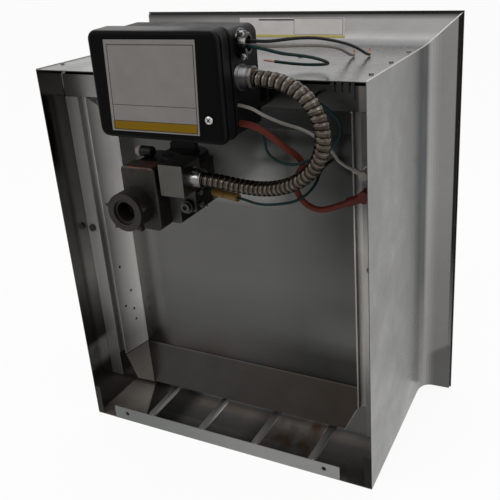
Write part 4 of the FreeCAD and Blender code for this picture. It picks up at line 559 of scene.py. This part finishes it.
DEFLECTOR_TOP = (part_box("bottom_deflector")[1][2] - LIFT) / MM
cover_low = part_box("control_box_cover")[0]
screw_low, screw_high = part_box("cover_screw")
COVER_FRONT = (cover_low[1] - REAR) / MM
SCREW_RISE = 2.2
SHEETS = {
    "shell_right_panel": metal("panel_right", (0.176, 0.174, 0.169), 0.3, GRAIN_Y, tint=right_tint),
    "shell_left_panel": metal("panel_left", (0.3, 0.297, 0.285), 0.2, GRAIN_Y, tint=left_tint),
    "shell_top_panel": metal("panel_top", (0.235, 0.229, 0.225), 0.28, GRAIN_X, tint=top_tint),
    "shell_bottom_panel": metal("panel_bottom", (0.5, 0.49, 0.47), 0.12, GRAIN_X, metallic=0.82,
                                tint=bottom_tint),
    "plenum_box": metal("pan", (0.095, 0.094, 0.092), 0.2, GRAIN_X, uneven=0.18, smudge=5, tint=pan_tint),
    "bottom_deflector": metal("deflector", (0.038, 0.036, 0.0335), 0.3, GRAIN_X, 0.3, smudge=22,
                              tint=deflector_tint),
    "corner_gussets": metal("gusset", (0.18, 0.164, 0.145), 0.4, uneven=0.3, smudge=30, metallic=0.3,
                            tint=gusset_tint),
    "left_shield": metal("shield_left", (0.43, 0.42, 0.402), 0.42, GRAIN_Z, metallic=0.25,
                         tint=left_shield_tint),
    "right_shield": metal("shield_right", (0.26, 0.255, 0.245), 0.42, GRAIN_Z, metallic=0.25,
                          tint=right_shield_tint),
    "top_shield": metal("shield_top", (0.19, 0.186, 0.18), 0.3, GRAIN_X, tint=top_shield_tint),
    "wire_comb": metal("comb", (0.035, 0.034, 0.033), 0.35),
    "valve_junction_box": metal("junction", (0.076, 0.072, 0.066), 0.34, uneven=0.2, smudge=60),
    "control_box_cover": paint("cover", (0.005, 0.0048, 0.0053), 0.45, depth=0.22, specular=0.08,
                               tint=cover_tint),
    # Clamp and saddle take painted light above and painted shade below
    "cable_clamp": metal("clamp", (0.06, 0.058, 0.055), 0.26, uneven=0.35, smudge=70, tint=lit_above_shaded_below),
    "clamp_saddle": metal("saddle", (0.07, 0.068, 0.064), 0.26, uneven=0.35, smudge=70, tint=lit_above_shaded_below),
    "conduit_fitting_box": metal("fitting", (0.1, 0.101, 0.103), 0.3, uneven=0.3, smudge=70, metallic=0.3,
                                 tint=fitting_tint),
    "pressure_plug": metal("plug", (0.05, 0.048, 0.045), 0.35, uneven=0.3, smudge=90),
    "sheet_screws": metal("dull_screws", (0.06, 0.059, 0.057), 0.4, uneven=0.3, smudge=90),
    "valve_body": metal("valve", (0.016, 0.016, 0.0155), 0.5, uneven=0.35, smudge=80, tint=valve_tint),
    "wire_nut": paint("wire_nut", (0.006, 0.006, 0.0065), 0.45, specular=0.1, tint=pale_tip),
}
for name, finish in SHEETS.items():
    dress(nodes[name], finish)


# Wires as smooth lines through the routes of the source
def route_curve(name, points, diameter=0.0):
    data = bpy.data.curves.new(name, "CURVE")
    data.dimensions = "3D"
    data.resolution_u = 12
    data.bevel_depth = diameter * MM / 2
    data.bevel_resolution = 5
    data.use_fill_caps = True
    spline = data.splines.new("NURBS")
    spline.points.add(len(points) - 1)
    for knot, point in zip(spline.points, points):
        knot.co = (*at(*point), 1)
    spline.order_u = 3
    spline.use_endpoint_u = True
    return add_object(name, data)


def declare(obj, node, points, length, diameter, far_end, path=None):
    """Attaches a cord to the heater's body and hides the node it stands for."""
    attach(obj, "heater")
    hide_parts(node)
    at(*points[0])
    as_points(path)


def tube_mesh(name, line, radius_at, segments):
    """A tube round a line; radius_at gives the radius for a share along the line and an angle."""
    bm = bmesh.new()
    rings = []
    normal = None
    last = len(line) - 1
    for i, point in enumerate(line):
        axis = (line[min(i + 1, last)] - line[max(i - 1, 0)]).normalized()
        if normal is None:
            normal = axis.orthogonal()
        normal = (normal - axis * normal.dot(axis)).normalized()
        side = axis.cross(normal)
        ring = []
        for k in range(segments):
            angle = 2 * math.pi * k / segments
            out = normal * math.cos(angle) + side * math.sin(angle)
            ring.append(bm.verts.new(point + out * radius_at(i / last, angle)))
        rings.append(ring)
    for low, high in zip(rings, rings[1:]):
        for k in range(segments):
            n = (k + 1) % segments
            bm.faces.new((low[k], low[n], high[n], high[k]))
    bm.faces.new(list(reversed(rings[0])))
    bm.faces.new(rings[-1])
    for face in bm.faces:
        face.smooth = len(face.verts) == 4
    return mesh_object(name, bm)


ROUTES = {
    "ignition_cable": [
        (102, -57, 227), (117, -57, 226), (131, -52, 216), (143, -40, 199), (150, -21, 183), (145, 0, 166),
        (127, 20, 148), (121, 24, 129), (130, 26, 111), (149, 25, 104), (167.93, 23.7, 110.25),
        (186.06, 23.7, 118.70),
    ],
    "sensor_wire": [
        (102, -58, 246), (115, -58, 245), (127, -50, 234), (141, -34, 222), (156, -19, 213),
        (168, -4, 198), (174, 12, 181), (177.81, 23.7, 163.26), (192.84, 23.7, 157.79),
    ],
    "ground_wire": [
        (102, -46, 224.4), (117, -46, 222.4), (122, -44, 206), (120, -37, 190), (129, -30, 178.5),
        (145, -27, 175), (160, -24, 180), (175, -12, 185), (184, 6, 194), (183, 19, 210), (167, 19, 226),
        (147, 20.5, 236), (147, 42.1, 236),
    ],
    "valve_ground_wire": [
        (-7, 30, 113.5), (6, 28, 112), (57, 11, 114), (84, 3, 112), (110, 4, 115), (132, 13, 119),
        (141, 38, 129), (136, 66, 140), (136, 90, 140),
    ],
    "black_lead": [
        (105.5, -44, 308.6), (129, -44, 307), (138, -24, 305.5), (147, 2, 303), (155, 30, 298),
        (162, 62, 289), (167, 93, 279), (169, 120, 267.5), (168, 137, 260.5), (167, 150, 257.3),
    ],
    "white_lead": [
        (105.5, -41.2, 303.6), (128, -41.2, 302.3), (136, -20, 298.5), (143, 6, 294.5), (148, 34, 289.5),
        (152, 64, 283), (153, 93, 275), (152, 117, 265.5), (150.5, 132, 259.8), (150, 143, 257.6),
    ],
    "green_lead": [
        (105.5, -46.8, 303.6), (126, -47, 302), (142, -36, 294.5), (152, -16, 289), (159, 4, 283),
        (164, 24, 275.5), (161, 43, 268.5), (147, 53, 265), (130, 51, 265), (114, 43, 267.5),
        (100, 33, 271.5),
    ],
}
# Bared ends of the supply leads, as steps on from the end of the insulation
TIPS = {
    "black_lead": [(-0.2, 1.5, 0.6), (-0.4, 2.4, 3.4), (-0.6, 2.8, 7.6)],
    "white_lead": [(0, 1.5, 0.5), (-0.2, 2.2, 3.0), (-0.3, 2.5, 6.6)],
    "green_lead": [(-3.4, -2.2, 0.9), (-6.8, -4.3, 1.7), (-9.8, -6.0, 2.5)],
}
STRANDS = 7
STRAND_DEPTH = 0.14
TIP_RADIUS = 1.05
TIP_TWIST = 9
TIP_TAPER = 0.15
TIP_SIDES = 28
TIP_STEPS = 4


def strand_radius(share, angle):
    """Twisted strands that draw together towards the end."""
    ripple = 1 + STRAND_DEPTH * math.cos(STRANDS * angle + TIP_TWIST * share)
    return TIP_RADIUS * MM * ripple * (1 - TIP_TAPER * share ** 4)


def bared_tip(name):
    end = Vector(ROUTES[name][-1])
    corners = [end - Vector(TIPS[name][0]) * 0.5] + [end + Vector(step) for step in TIPS[name]]
    line = []
    for a, b in zip(corners, corners[1:]):
        line += [at(*a.lerp(b, i / TIP_STEPS)) for i in range(TIP_STEPS)]
    line.append(at(*corners[-1]))
    tip = tube_mesh(name + "_tip", line, strand_radius, TIP_SIDES)
    dress(tip, materials["copper"])
    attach(tip, "heater")
    return tip


WIRES = (
    ("ignition_cable", 7.0, 239, "object"),
    ("sensor_wire", 3.6, 162, "object"),
    ("ground_wire", 3.2, 218, "object"),
    ("valve_ground_wire", 3.2, 226, "object"),
    ("black_lead", 3.4, 229, "bare"),
    ("white_lead", 3.4, 213, "bare"),
    ("green_lead", 3.4, 196, "bare"),
)
for name, diameter, length, far_end in WIRES:
    wire = route_curve(name + "_line", ROUTES[name], diameter)
    dress(wire, materials[slot_of[name]])
    riders = [nodes["ground_splices"]] if name == "valve_ground_wire" else []
    if name in TIPS:
        riders.append(bared_tip(name))
    declare(wire, name, ROUTES[name], length, diameter, far_end)


# Flexible conduit: an interlocked strip wound along its route
def spline_points(name, points):
    """Closely spaced points on the smooth line of a route."""
    STEPS_PER_SPAN = 40
    curve = route_curve(name, points)
    curve.data.resolution_u = STEPS_PER_SPAN
    mesh = bpy.data.meshes.new_from_object(curve)
    line = [v.co.copy() for v in mesh.vertices]
    bpy.data.meshes.remove(mesh)
    bpy.data.objects.remove(curve)
    return line


def evenly(line, count):
    """Points at equal distances along a line."""
    marks = [0.0]
    for a, b in zip(line, line[1:]):
        marks.append(marks[-1] + (b - a).length)
    found = []
    j = 0
    for i in range(count):
        goal = marks[-1] * i / (count - 1)
        while j < len(marks) - 2 and marks[j + 1] < goal:
            j += 1
        share = (goal - marks[j]) / (marks[j + 1] - marks[j])
        found.append(line[j].lerp(line[j + 1], share))
    return found, marks[-1]


CONDUIT_ROUTE = [
    (109, -49, 272.4), (134, -49, 272.4), (158, -48.5, 266), (178.5, -47, 250), (189, -45, 226),
    (187, -41, 200), (173, -35, 175), (145, -26, 153), (105, -12, 138), (65, -2, 134.5), (33, 0, 138),
    (4, 0, 138),
]
CONDUIT_LENGTH = 339
CONDUIT_CREST = 17.5 / 2
CONDUIT_VALLEY = 14.9 / 2
CONDUIT_PITCH = 7.6
CONDUIT_SIDES = 36
RINGS_PER_TURN = 16
# One turn of the strip across its width: a broad crown, a lower lap beside it and a groove at the lock
STRIP_SECTION = ((0.0, 0.0), (0.09, 0.72), (0.19, 0.97), (0.34, 1.0), (0.47, 0.9), (0.56, 0.58), (0.75, 0.62),
                 (0.87, 0.42), (1.0, 0.0))
conduit_line = spline_points("conduit_route", CONDUIT_ROUTE)
_, conduit_length = evenly(conduit_line, 2)
turns = round(conduit_length / (CONDUIT_PITCH * MM))
conduit_path, _ = evenly(conduit_line, turns * RINGS_PER_TURN + 1)


def strip_height(share, angle):
    """Height of the wound strip above its groove, from nothing to one."""
    phase = (share * turns + angle / (2 * math.pi)) % 1.0
    for (start, low), (end, high) in zip(STRIP_SECTION, STRIP_SECTION[1:]):
        if phase <= end:
            return low + (high - low) * (phase - start) / (end - start)
    return 0.0


def strip_radius(share, angle):
    return (CONDUIT_VALLEY + (CONDUIT_CREST - CONDUIT_VALLEY) * strip_height(share, angle)) * MM


conduit = tube_mesh("armoured_conduit", conduit_path, strip_radius, CONDUIT_SIDES)
crown = conduit.data.attributes.new("crown", "FLOAT", "POINT")
ring_count = len(conduit_path)
for i in range(ring_count):
    for k in range(CONDUIT_SIDES):
        height = strip_height(i / (ring_count - 1), 2 * math.pi * k / CONDUIT_SIDES)
        crown.data[i * CONDUIT_SIDES + k].value = height
dress(conduit, materials["conduit_steel"])
declare(conduit, "flexible_conduit", CONDUIT_ROUTE, CONDUIT_LENGTH, 2 * CONDUIT_CREST, "object",
        path=conduit_path)


# Bare plates where the object carries labels
def plate(name, rows):
    """A thin plate over rows of (place, normal) pairs, printed across its sheet coordinates."""
    THICKNESS = 0.3 * MM
    GAP = 0.05 * MM
    bm = bmesh.new()
    sheet = bm.loops.layers.uv.new("sheet")
    layers = []
    for lift in (GAP, THICKNESS):
        layers.append([[bm.verts.new(place + normal * lift) for place, normal in row] for row in rows])
    lower, upper = layers
    tall = len(rows) - 1
    wide = len(rows[0]) - 1
    share = {}
    for grid in layers:
        for i, row in enumerate(grid):
            for j, vertex in enumerate(row):
                share[vertex] = (j / wide, i / tall)
    for grid in layers:
        for i in range(tall):
            for j in range(wide):
                bm.faces.new((grid[i][j], grid[i][j + 1], grid[i + 1][j + 1], grid[i + 1][j]))
    rim = [(i, 0) for i in range(tall)] + [(tall, j) for j in range(wide)]
    rim += [(i, wide) for i in range(tall, 0, -1)] + [(0, j) for j in range(wide, 0, -1)]
    for (i, j), (m, n) in zip(rim, rim[1:] + rim[:1]):
        bm.faces.new((lower[i][j], lower[m][n], upper[m][n], upper[i][j]))
    bmesh.ops.recalc_face_normals(bm, faces=bm.faces)
    for face in bm.faces:
        for loop in face.loops:
            loop[sheet].uv = share[loop.vert]
    piece = mesh_object(name, bm)
    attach(piece, "heater")
    return piece


def stretched(corners, wide, tall):
    """Places spread over four corners: lower left, lower right, upper left, upper right."""
    low_left, low_right, high_left, high_right = [Vector(corner) for corner in corners]
    rows = []
    for i in range(tall + 1):
        left = low_left.lerp(high_left, i / tall)
        right = low_right.lerp(high_right, i / tall)
        rows.append([left.lerp(right, j / wide) for j in range(wide + 1)])
    return rows


ACROSS, UPWARDS = 0, 1


def printed(name, paper, bands, frame_lines):
    """Coated paper with flat bands of colour and thin frame lines, and no words."""
    finish = Finish(name, roughness=0.5, specular=0.06)
    fibres = finish.noise(1500, detail=3)
    soil = finish.noise(45, detail=5)
    base = finish.mix(finish.span(soil, 0.35, 0.7), shade(paper, 1.03), shade(paper, 0.93))
    for (left, right, low, high), colour in bands:
        inside = finish.both(finish.window(ACROSS, left, right), finish.window(UPWARDS, low, high))
        base = finish.mix(inside, base, (*colour, 1.0))
    for (left, right, low, high), width, shape in frame_lines:
        outer = finish.both(finish.window(ACROSS, left, right), finish.window(UPWARDS, low, high))
        across = width * shape
        inner = finish.both(finish.window(ACROSS, left + width, right - width),
                            finish.window(UPWARDS, low + across, high - across))
        base = finish.mix(finish.maths("SUBTRACT", outer, inner), base, (*INK, 1.0))
    finish.colour(base)
    finish.rough(finish.span(soil, 0.3, 0.7, 0.42, 0.58))
    finish.bump(fibres, 0.05, 0.0002)
    return finish


INK = (0.012, 0.012, 0.013)
YELLOW = (0.145, 0.083, 0.003)
PALE_YELLOW = (0.3, 0.24, 0.05)
COVER_PAPER = (0.176, 0.164, 0.155)
TOP_PAPER = (0.36, 0.345, 0.33)
TO_REAR = Vector((0, -1, 0))
DOWN = Vector((0, 0, -1))
# Rays start this far out, clear of the shell
CLEAR = 400
COVER_LABEL = ((-37, 0, 220), (73, 0, 221), (-33, 0, 316), (78, 0, 317))
COVER_CELLS = 6
TOP_LABEL = ((-60, 247, 0), (97, 247, 0), (-77, 280, 0), (85, 280, 0))
TOP_CELLS = 10
cover_rows = []
for row in stretched(COVER_LABEL, COVER_CELLS, COVER_CELLS):
    places = [at(*point) for point in row]
    cover_rows.append([(Vector((place.x, cover_low[1], place.z)), TO_REAR) for place in places])
cover_label = plate("cover_label", cover_rows)
cover_bands = [((0.02, 0.98, 0.02, 0.115), YELLOW)]
cover_lines = [((0.03, 0.982, 0.015, 0.95), 0.007, 1.15), ((0.03, 0.982, 0.115, 0.3), 0.005, 1.15)]
dress(cover_label, printed("cover_label", COVER_PAPER, cover_bands, cover_lines))


def ray_tree(name):
    """The faces of a node, to be met by rays."""
    mesh = nodes[name].data
    return BVHTree.FromPolygons([v.co for v in mesh.vertices], [tuple(f.vertices) for f in mesh.polygons])


panel_tree = ray_tree("shell_top_panel")
top_rows = []
for row in stretched(TOP_LABEL, TOP_CELLS, TOP_CELLS):
    hits = [panel_tree.ray_cast(at(point.x, point.y, CLEAR), DOWN) for point in row]
    top_rows.append([(hit[0], hit[1]) for hit in hits])
top_label = plate("top_label", top_rows)
top_bands = [((0.0, 1.0, 0.0, 0.14), PALE_YELLOW), ((0.19, 0.53, 0.86, 0.93), INK)]
top_lines = [((0.53, 0.985, 0.17, 0.97), 0.004, 5.0)]
dress(top_label, printed("top_label", TOP_PAPER, top_bands, top_lines))


# Return flange that closes the gap between the top shield and the top panel, dark as painted shade in the gap
def bent_strip(name, profile, left, right, offset):
    """A strip of sheet along x through the points of a (y, z) profile, as thick as the (y, z) offset."""
    bm = bmesh.new()
    count = len(profile)
    sections = []
    for x in (left, right):
        lower = [bm.verts.new(at(x, y, z)) for y, z in profile]
        upper = [bm.verts.new(at(x, y + offset[0], z + offset[1])) for y, z in profile]
        sections.append(lower + upper[::-1])
    for k in range(2 * count):
        n = (k + 1) % (2 * count)
        bm.faces.new((sections[0][k], sections[0][n], sections[1][n], sections[1][k]))
    bm.faces.new(list(reversed(sections[0])))
    bm.faces.new(sections[1])
    piece = mesh_object(name, bm)
    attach(piece, "heater")
    return piece


shield_low, shield_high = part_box("top_shield")
SHIELD_TOP = (shield_high[2] - LIFT) / MM
SHIELD_HALF = shield_high[0] / MM
FLANGE_Y = (shield_low[1] - REAR) / MM
RETURN_PROFILE = ((FLANGE_Y + 1.0, SHIELD_TOP - 2.5), (FLANGE_Y + 3.5, SHIELD_TOP - 0.5),
                  (FLANGE_Y + 10.0, SHIELD_TOP + 4.5), (FLANGE_Y + 17.0, SHIELD_TOP + 9.6))
RETURN_HALF = SHIELD_HALF - 2
RETURN_THICK = 0.8
top_return = bent_strip("top_shield_return", RETURN_PROFILE, -RETURN_HALF, RETURN_HALF, (0, RETURN_THICK))
dress(top_return, SHEETS["wire_comb"])


# Lip turned out along the mouth of the shell, dark as painted shade, and painted highlights along the upper
# corners
def sweep(name, lines, finish):
    """Strips between pairs of lines, closed round all four sides."""
    bm = bmesh.new()
    for corners in lines:
        rows = [[bm.verts.new(place) for place in row] for row in corners]
        for low, high in zip(rows, rows[1:]):
            for k in range(4):
                n = (k + 1) % 4
                bm.faces.new((low[k], low[n], high[n], high[k]))
        bm.faces.new(list(reversed(rows[0])))
        bm.faces.new(rows[-1])
    piece = mesh_object(name, bm)
    dress(piece, finish)
    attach(piece, "heater")
    return piece


mouth_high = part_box("shell_right_panel")[1]
MOUTH_X = mouth_high[0] / MM
MOUTH_Z = (mouth_high[2] - LIFT) / MM
MOUTH_Y = (mouth_high[1] - REAR) / MM
LIP_SIDE = 1.8
LIP_TOP = 3.2
LIP_DEEP = 1.2


def lip_section(x, z, out_x, out_z):
    """Four corners of the lip where the mouth has a corner or an end."""
    return [at(x, MOUTH_Y - LIP_DEEP, z), at(x + out_x, MOUTH_Y - LIP_DEEP, z + out_z),
            at(x + out_x, MOUTH_Y, z + out_z), at(x, MOUTH_Y, z)]


lip_rows = [
    lip_section(-MOUTH_X, -MOUTH_Z, -LIP_SIDE, 0), lip_section(-MOUTH_X, MOUTH_Z, -LIP_SIDE, LIP_TOP),
    lip_section(MOUTH_X, MOUTH_Z, LIP_SIDE, LIP_TOP), lip_section(MOUTH_X, -MOUTH_Z, LIP_SIDE, 0),
]
# the lip takes the dark comb finish as painted shade
sweep("mouth_lip", [lip_rows], SHEETS["wire_comb"])

SEAM_WIDE = 0.9
SEAM_PAST = 0.3
SEAM_INSET = 1
SEAM_STEPS = 48
LEVEL_X = 205
SIDE_DEPTH = 4


def seam_rows(side, side_tree):
    """Sections of the painted highlight along one upper corner, from the rear rim to the mouth."""
    wide = side * SEAM_WIDE * MM
    rows = []
    for i in range(SEAM_STEPS + 1):
        y = SEAM_INSET + (MOUTH_Y - 2 * SEAM_INSET) * i / SEAM_STEPS
        place = at(0, y, 0).y
        level = panel_tree.ray_cast(at(side * LEVEL_X, y, CLEAR), DOWN)[0].z
        beside = Vector((side * CLEAR * MM, place, level - SIDE_DEPTH * MM))
        edge = side_tree.ray_cast(beside, Vector((-side, 0, 0)))[0].x
        inner = edge - wide
        outer = edge + SEAM_PAST * wide
        upper = level + SEAM_WIDE * MM
        corners = ((inner, level), (outer, level), (outer, upper), (inner, upper))
        rows.append([Vector((x, place, z)) for x, z in corners])
    return rows


seam_lines = [seam_rows(-1, ray_tree("shell_left_panel")), seam_rows(1, ray_tree("shell_right_panel"))]
# painted highlight along the upper corners
edge_highlight = metal("edge_highlight", (0.5, 0.48, 0.46), 0.35, metallic=0.4, smudge=60)
sweep("seam_edges", seam_lines, edge_highlight)


# Screw heads
def ring_disc(radius):
    return lambda angle: radius


def ring_hexagon(radius):
    sixth = math.pi / 3
    return lambda angle: radius * math.cos(sixth / 2) / math.cos(angle % sixth - sixth / 2)


def ring_cross(inner, outer):
    return lambda angle: inner + (outer - inner) * abs(math.cos(2 * angle)) ** 3


def ring_oval(across, tall):
    return lambda angle: 1 / math.hypot(math.cos(angle) / across, math.sin(angle) / tall)


def add_rings(bm, place, normal, rings, side):
    """One solid of rings round a normal; each ring is a radius for an angle and a height."""
    SEGMENTS = 48
    up = normal.cross(side)
    loops = []
    for radius_at, height in rings:
        loop = []
        for k in range(SEGMENTS):
            angle = 2 * math.pi * k / SEGMENTS
            radius = radius_at(angle) * MM
            out = side * math.cos(angle) * radius + up * math.sin(angle) * radius
            loop.append(bm.verts.new(place + out + normal * height * MM))
        loops.append(loop)
    for low, high in zip(loops, loops[1:]):
        for k in range(SEGMENTS):
            n = (k + 1) % SEGMENTS
            bm.faces.new((low[k], low[n], high[n], high[k]))
    bm.faces.new(list(reversed(loops[0])))
    bm.faces.new(loops[-1])


def ringed(name, places, normal, rings, finish, side=None):
    normal = Vector(normal).normalized()
    bm = bmesh.new()
    for place in places:
        add_rings(bm, place, normal, rings, side or normal.orthogonal().normalized())
    piece = mesh_object(name, bm)
    dress(piece, finish)
    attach(piece, "heater")
    return piece


HEX_WASHER = (
    (ring_disc(4.6), 0.05), (ring_disc(4.6), 0.5), (ring_disc(4.1), 0.8), (ring_hexagon(3.4), 0.8),
    (ring_hexagon(3.4), 2.3), (ring_disc(2.8), 2.7), (ring_disc(2.1), 2.4), (ring_disc(1.2), 2.3),
)
TOP_SCREW = (86, 132.4)
hit = panel_tree.ray_cast(at(*TOP_SCREW, CLEAR), DOWN)
ringed("top_panel_screw", [hit[0]], hit[1], HEX_WASHER, materials["bright_screws"])

screw_radius = (screw_high[0] - screw_low[0]) / 2 / MM
screw_middle = Vector(((screw_low[0] + screw_high[0]) / 2, cover_low[1], (screw_low[2] + screw_high[2]) / 2))


def pan_head(radius, rise):
    """Rings of a pan head with a cross recess."""
    return (
        (ring_disc(radius), 0.05), (ring_disc(radius), 0.4 * rise), (ring_disc(0.86 * radius), 0.8 * rise),
        (ring_disc(0.62 * radius), rise), (ring_cross(0.2 * radius, 0.6 * radius), rise),
        (ring_cross(0.12 * radius, 0.42 * radius), 0.3 * rise),
    )


recessed = metal("recessed_screw", (0.38, 0.38, 0.37), 0.3, uneven=0.3, smudge=150, tint=recess_shade)
cover_head = ringed("cover_screw_head", [screw_middle], TO_REAR, pan_head(screw_radius, SCREW_RISE), recessed)
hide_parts("cover_screw")


# Two-screw clamp of the supply leads: an oval hub with an open mouth and a strap held from the rear side
base_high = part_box("control_box_base")[1]
CLAMP_X = base_high[0] / MM
CLAMP_Y = -44
CLAMP_Z = 305.4
CLAMP_HUB = (
    (ring_oval(11.5, 15), 0.1), (ring_oval(11.5, 15), 2.2), (ring_oval(10.8, 14.3), 2.8),
    (ring_oval(9, 11.8), 3.2), (ring_oval(8.6, 11.2), 9.2), (ring_oval(7.8, 10.4), 10.2),
    (ring_oval(5.8, 8), 10.2), (ring_oval(5.6, 7.8), 5),
)
hub = ringed("clamp_hub", [at(CLAMP_X, CLAMP_Y, CLAMP_Z)], (1, 0, 0), CLAMP_HUB, SHEETS["cable_clamp"],
             Vector((0, 1, 0)))
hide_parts("cable_clamp")

STRAP_HALF = 14
STRAP_Y = CLAMP_Y - 8
STRAP_BOW = 3.2
STRAP_CURVE = 0.6875
STRAP_STEPS = 14
STRAP_THICK = 2.2
STRAP_NEAR = 3.6
STRAP_FAR = 12.4
strap_profile = []
for i in range(STRAP_STEPS + 1):
    share = 2 * i / STRAP_STEPS - 1
    bow = STRAP_BOW * max(0.0, math.cos(STRAP_CURVE * math.pi * share)) ** 2
    strap_profile.append((STRAP_Y - bow, CLAMP_Z + STRAP_HALF * share))
strap = bent_strip("clamp_strap", strap_profile, CLAMP_X + STRAP_NEAR, CLAMP_X + STRAP_FAR, (-STRAP_THICK, 0))
dress(strap, SHEETS["clamp_saddle"])
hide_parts("clamp_saddle")

CLAMP_SCREW_REACH = 11
CLAMP_SCREW_X = CLAMP_X + 8.6
CLAMP_SCREW_RADIUS = 3.6
CLAMP_SCREW_RISE = 2.4
clamp_places = []
for side in (-1, 1):
    clamp_places.append(at(CLAMP_SCREW_X, STRAP_Y - STRAP_THICK, CLAMP_Z + side * CLAMP_SCREW_REACH))
clamp_head = pan_head(CLAMP_SCREW_RADIUS, CLAMP_SCREW_RISE)
clamp_heads = ringed("clamp_screw_heads", clamp_places, TO_REAR, clamp_head, materials["bright_screws"])
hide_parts("clamp_screws")

# Floor under the rear edge and the lower lip, soft light and a white surrounding
LIP_Y = 292
RIM_Z = 260.5
rear_edge = at(0, 0, -RIM_Z)
lip_edge = Vector((0, LIP_Y * MM + REAR, 0))
FLOOR_REACH = 12
FLOOR_GAP = 0.0006
FLOOR_WHITE = 0.93
SKY_STRENGTH = 0.55
tilt = math.atan2(rear_edge.z - lip_edge.z, lip_edge.y - rear_edge.y)
floor_mesh = bpy.data.meshes.new("floor")
corners = [(x, y, 0) for x, y in ((-FLOOR_REACH, -FLOOR_REACH), (FLOOR_REACH, -FLOOR_REACH),
                                  (FLOOR_REACH, FLOOR_REACH), (-FLOOR_REACH, FLOOR_REACH))]
floor_mesh.from_pydata(corners, [], [(0, 1, 2, 3)])
floor = add_object("floor", floor_mesh)
floor_place = lip_edge - Vector((0, 0, FLOOR_GAP))
floor.matrix_world = Matrix.Translation(floor_place) @ Matrix.Rotation(-tilt, 4, "X")


def seen_white(tree, share, plain, output):
    """Adds plain white for camera and mirror rays to a shader."""
    path = tree.nodes.new("ShaderNodeLightPath")
    glow = tree.nodes.new("ShaderNodeEmission" if output == "Surface" else "ShaderNodeBackground")
    glow.inputs["Color"].default_value = (1, 1, 1, 1)
    glow.inputs["Strength"].default_value = 1.0
    total = path.outputs["Is Camera Ray"]
    for name in ("Is Glossy Ray", "Is Transmission Ray"):
        most = tree.nodes.new("ShaderNodeMath")
        most.operation = "MAXIMUM"
        tree.links.new(total, most.inputs[0])
        tree.links.new(path.outputs[name], most.inputs[1])
        total = most.outputs[0]
    scale = tree.nodes.new("ShaderNodeMath")
    scale.operation = "MULTIPLY"
    scale.inputs[1].default_value = share
    tree.links.new(total, scale.inputs[0])
    mixed = tree.nodes.new("ShaderNodeMixShader")
    tree.links.new(scale.outputs[0], mixed.inputs[0])
    tree.links.new(plain, mixed.inputs[1])
    tree.links.new(glow.outputs[0], mixed.inputs[2])
    return mixed.outputs[0]


floor_finish = paint("floor_paper", (0.82, 0.82, 0.82), 0.9, grain=60, depth=0.02, uneven=0.02)
floor_tree = floor_finish.tree
floor_out = floor_tree.nodes["Material Output"].inputs["Surface"]
floor_shader = floor_finish.shader.outputs[0]
floor_tree.links.new(seen_white(floor_tree, FLOOR_WHITE, floor_shader, "Surface"), floor_out)
dress(floor, floor_finish)

world = bpy.data.worlds.new("studio")
scene.world = world
world.use_nodes = True
sky = world.node_tree.nodes["Background"]
sky.inputs["Color"].default_value = (1, 1, 1, 1)
sky.inputs["Strength"].default_value = SKY_STRENGTH
world_out = world.node_tree.nodes["World Output"].inputs["Surface"]
world.node_tree.links.new(seen_white(world.node_tree, 1.0, sky.outputs[0], "World"), world_out)


def softbox(name, place, aim, size, power):
    data = bpy.data.lights.new(name, "AREA")
    data.shape = "RECTANGLE"
    data.size, data.size_y = size
    data.energy = power
    lamp = add_object(name, data)
    direction = (Vector(aim) - Vector(place)).normalized()
    facing = direction.to_track_quat("-Z", "Y").to_matrix().to_4x4()
    lamp.matrix_world = Matrix.Translation(Vector(place)) @ facing


MIDDLE = (0, 0, 0.3)
softbox("key", (-1.2, -1.8, 2.0), MIDDLE, (1.4, 1.4), 22)
softbox("fill", (1.9, -0.6, 1.4), MIDDLE, (1.2, 1.8), 12)
softbox("top", (0.0, 0.6, 2.4), MIDDLE, (1.6, 1.6), 10)

scene.view_settings.view_transform = "Standard"
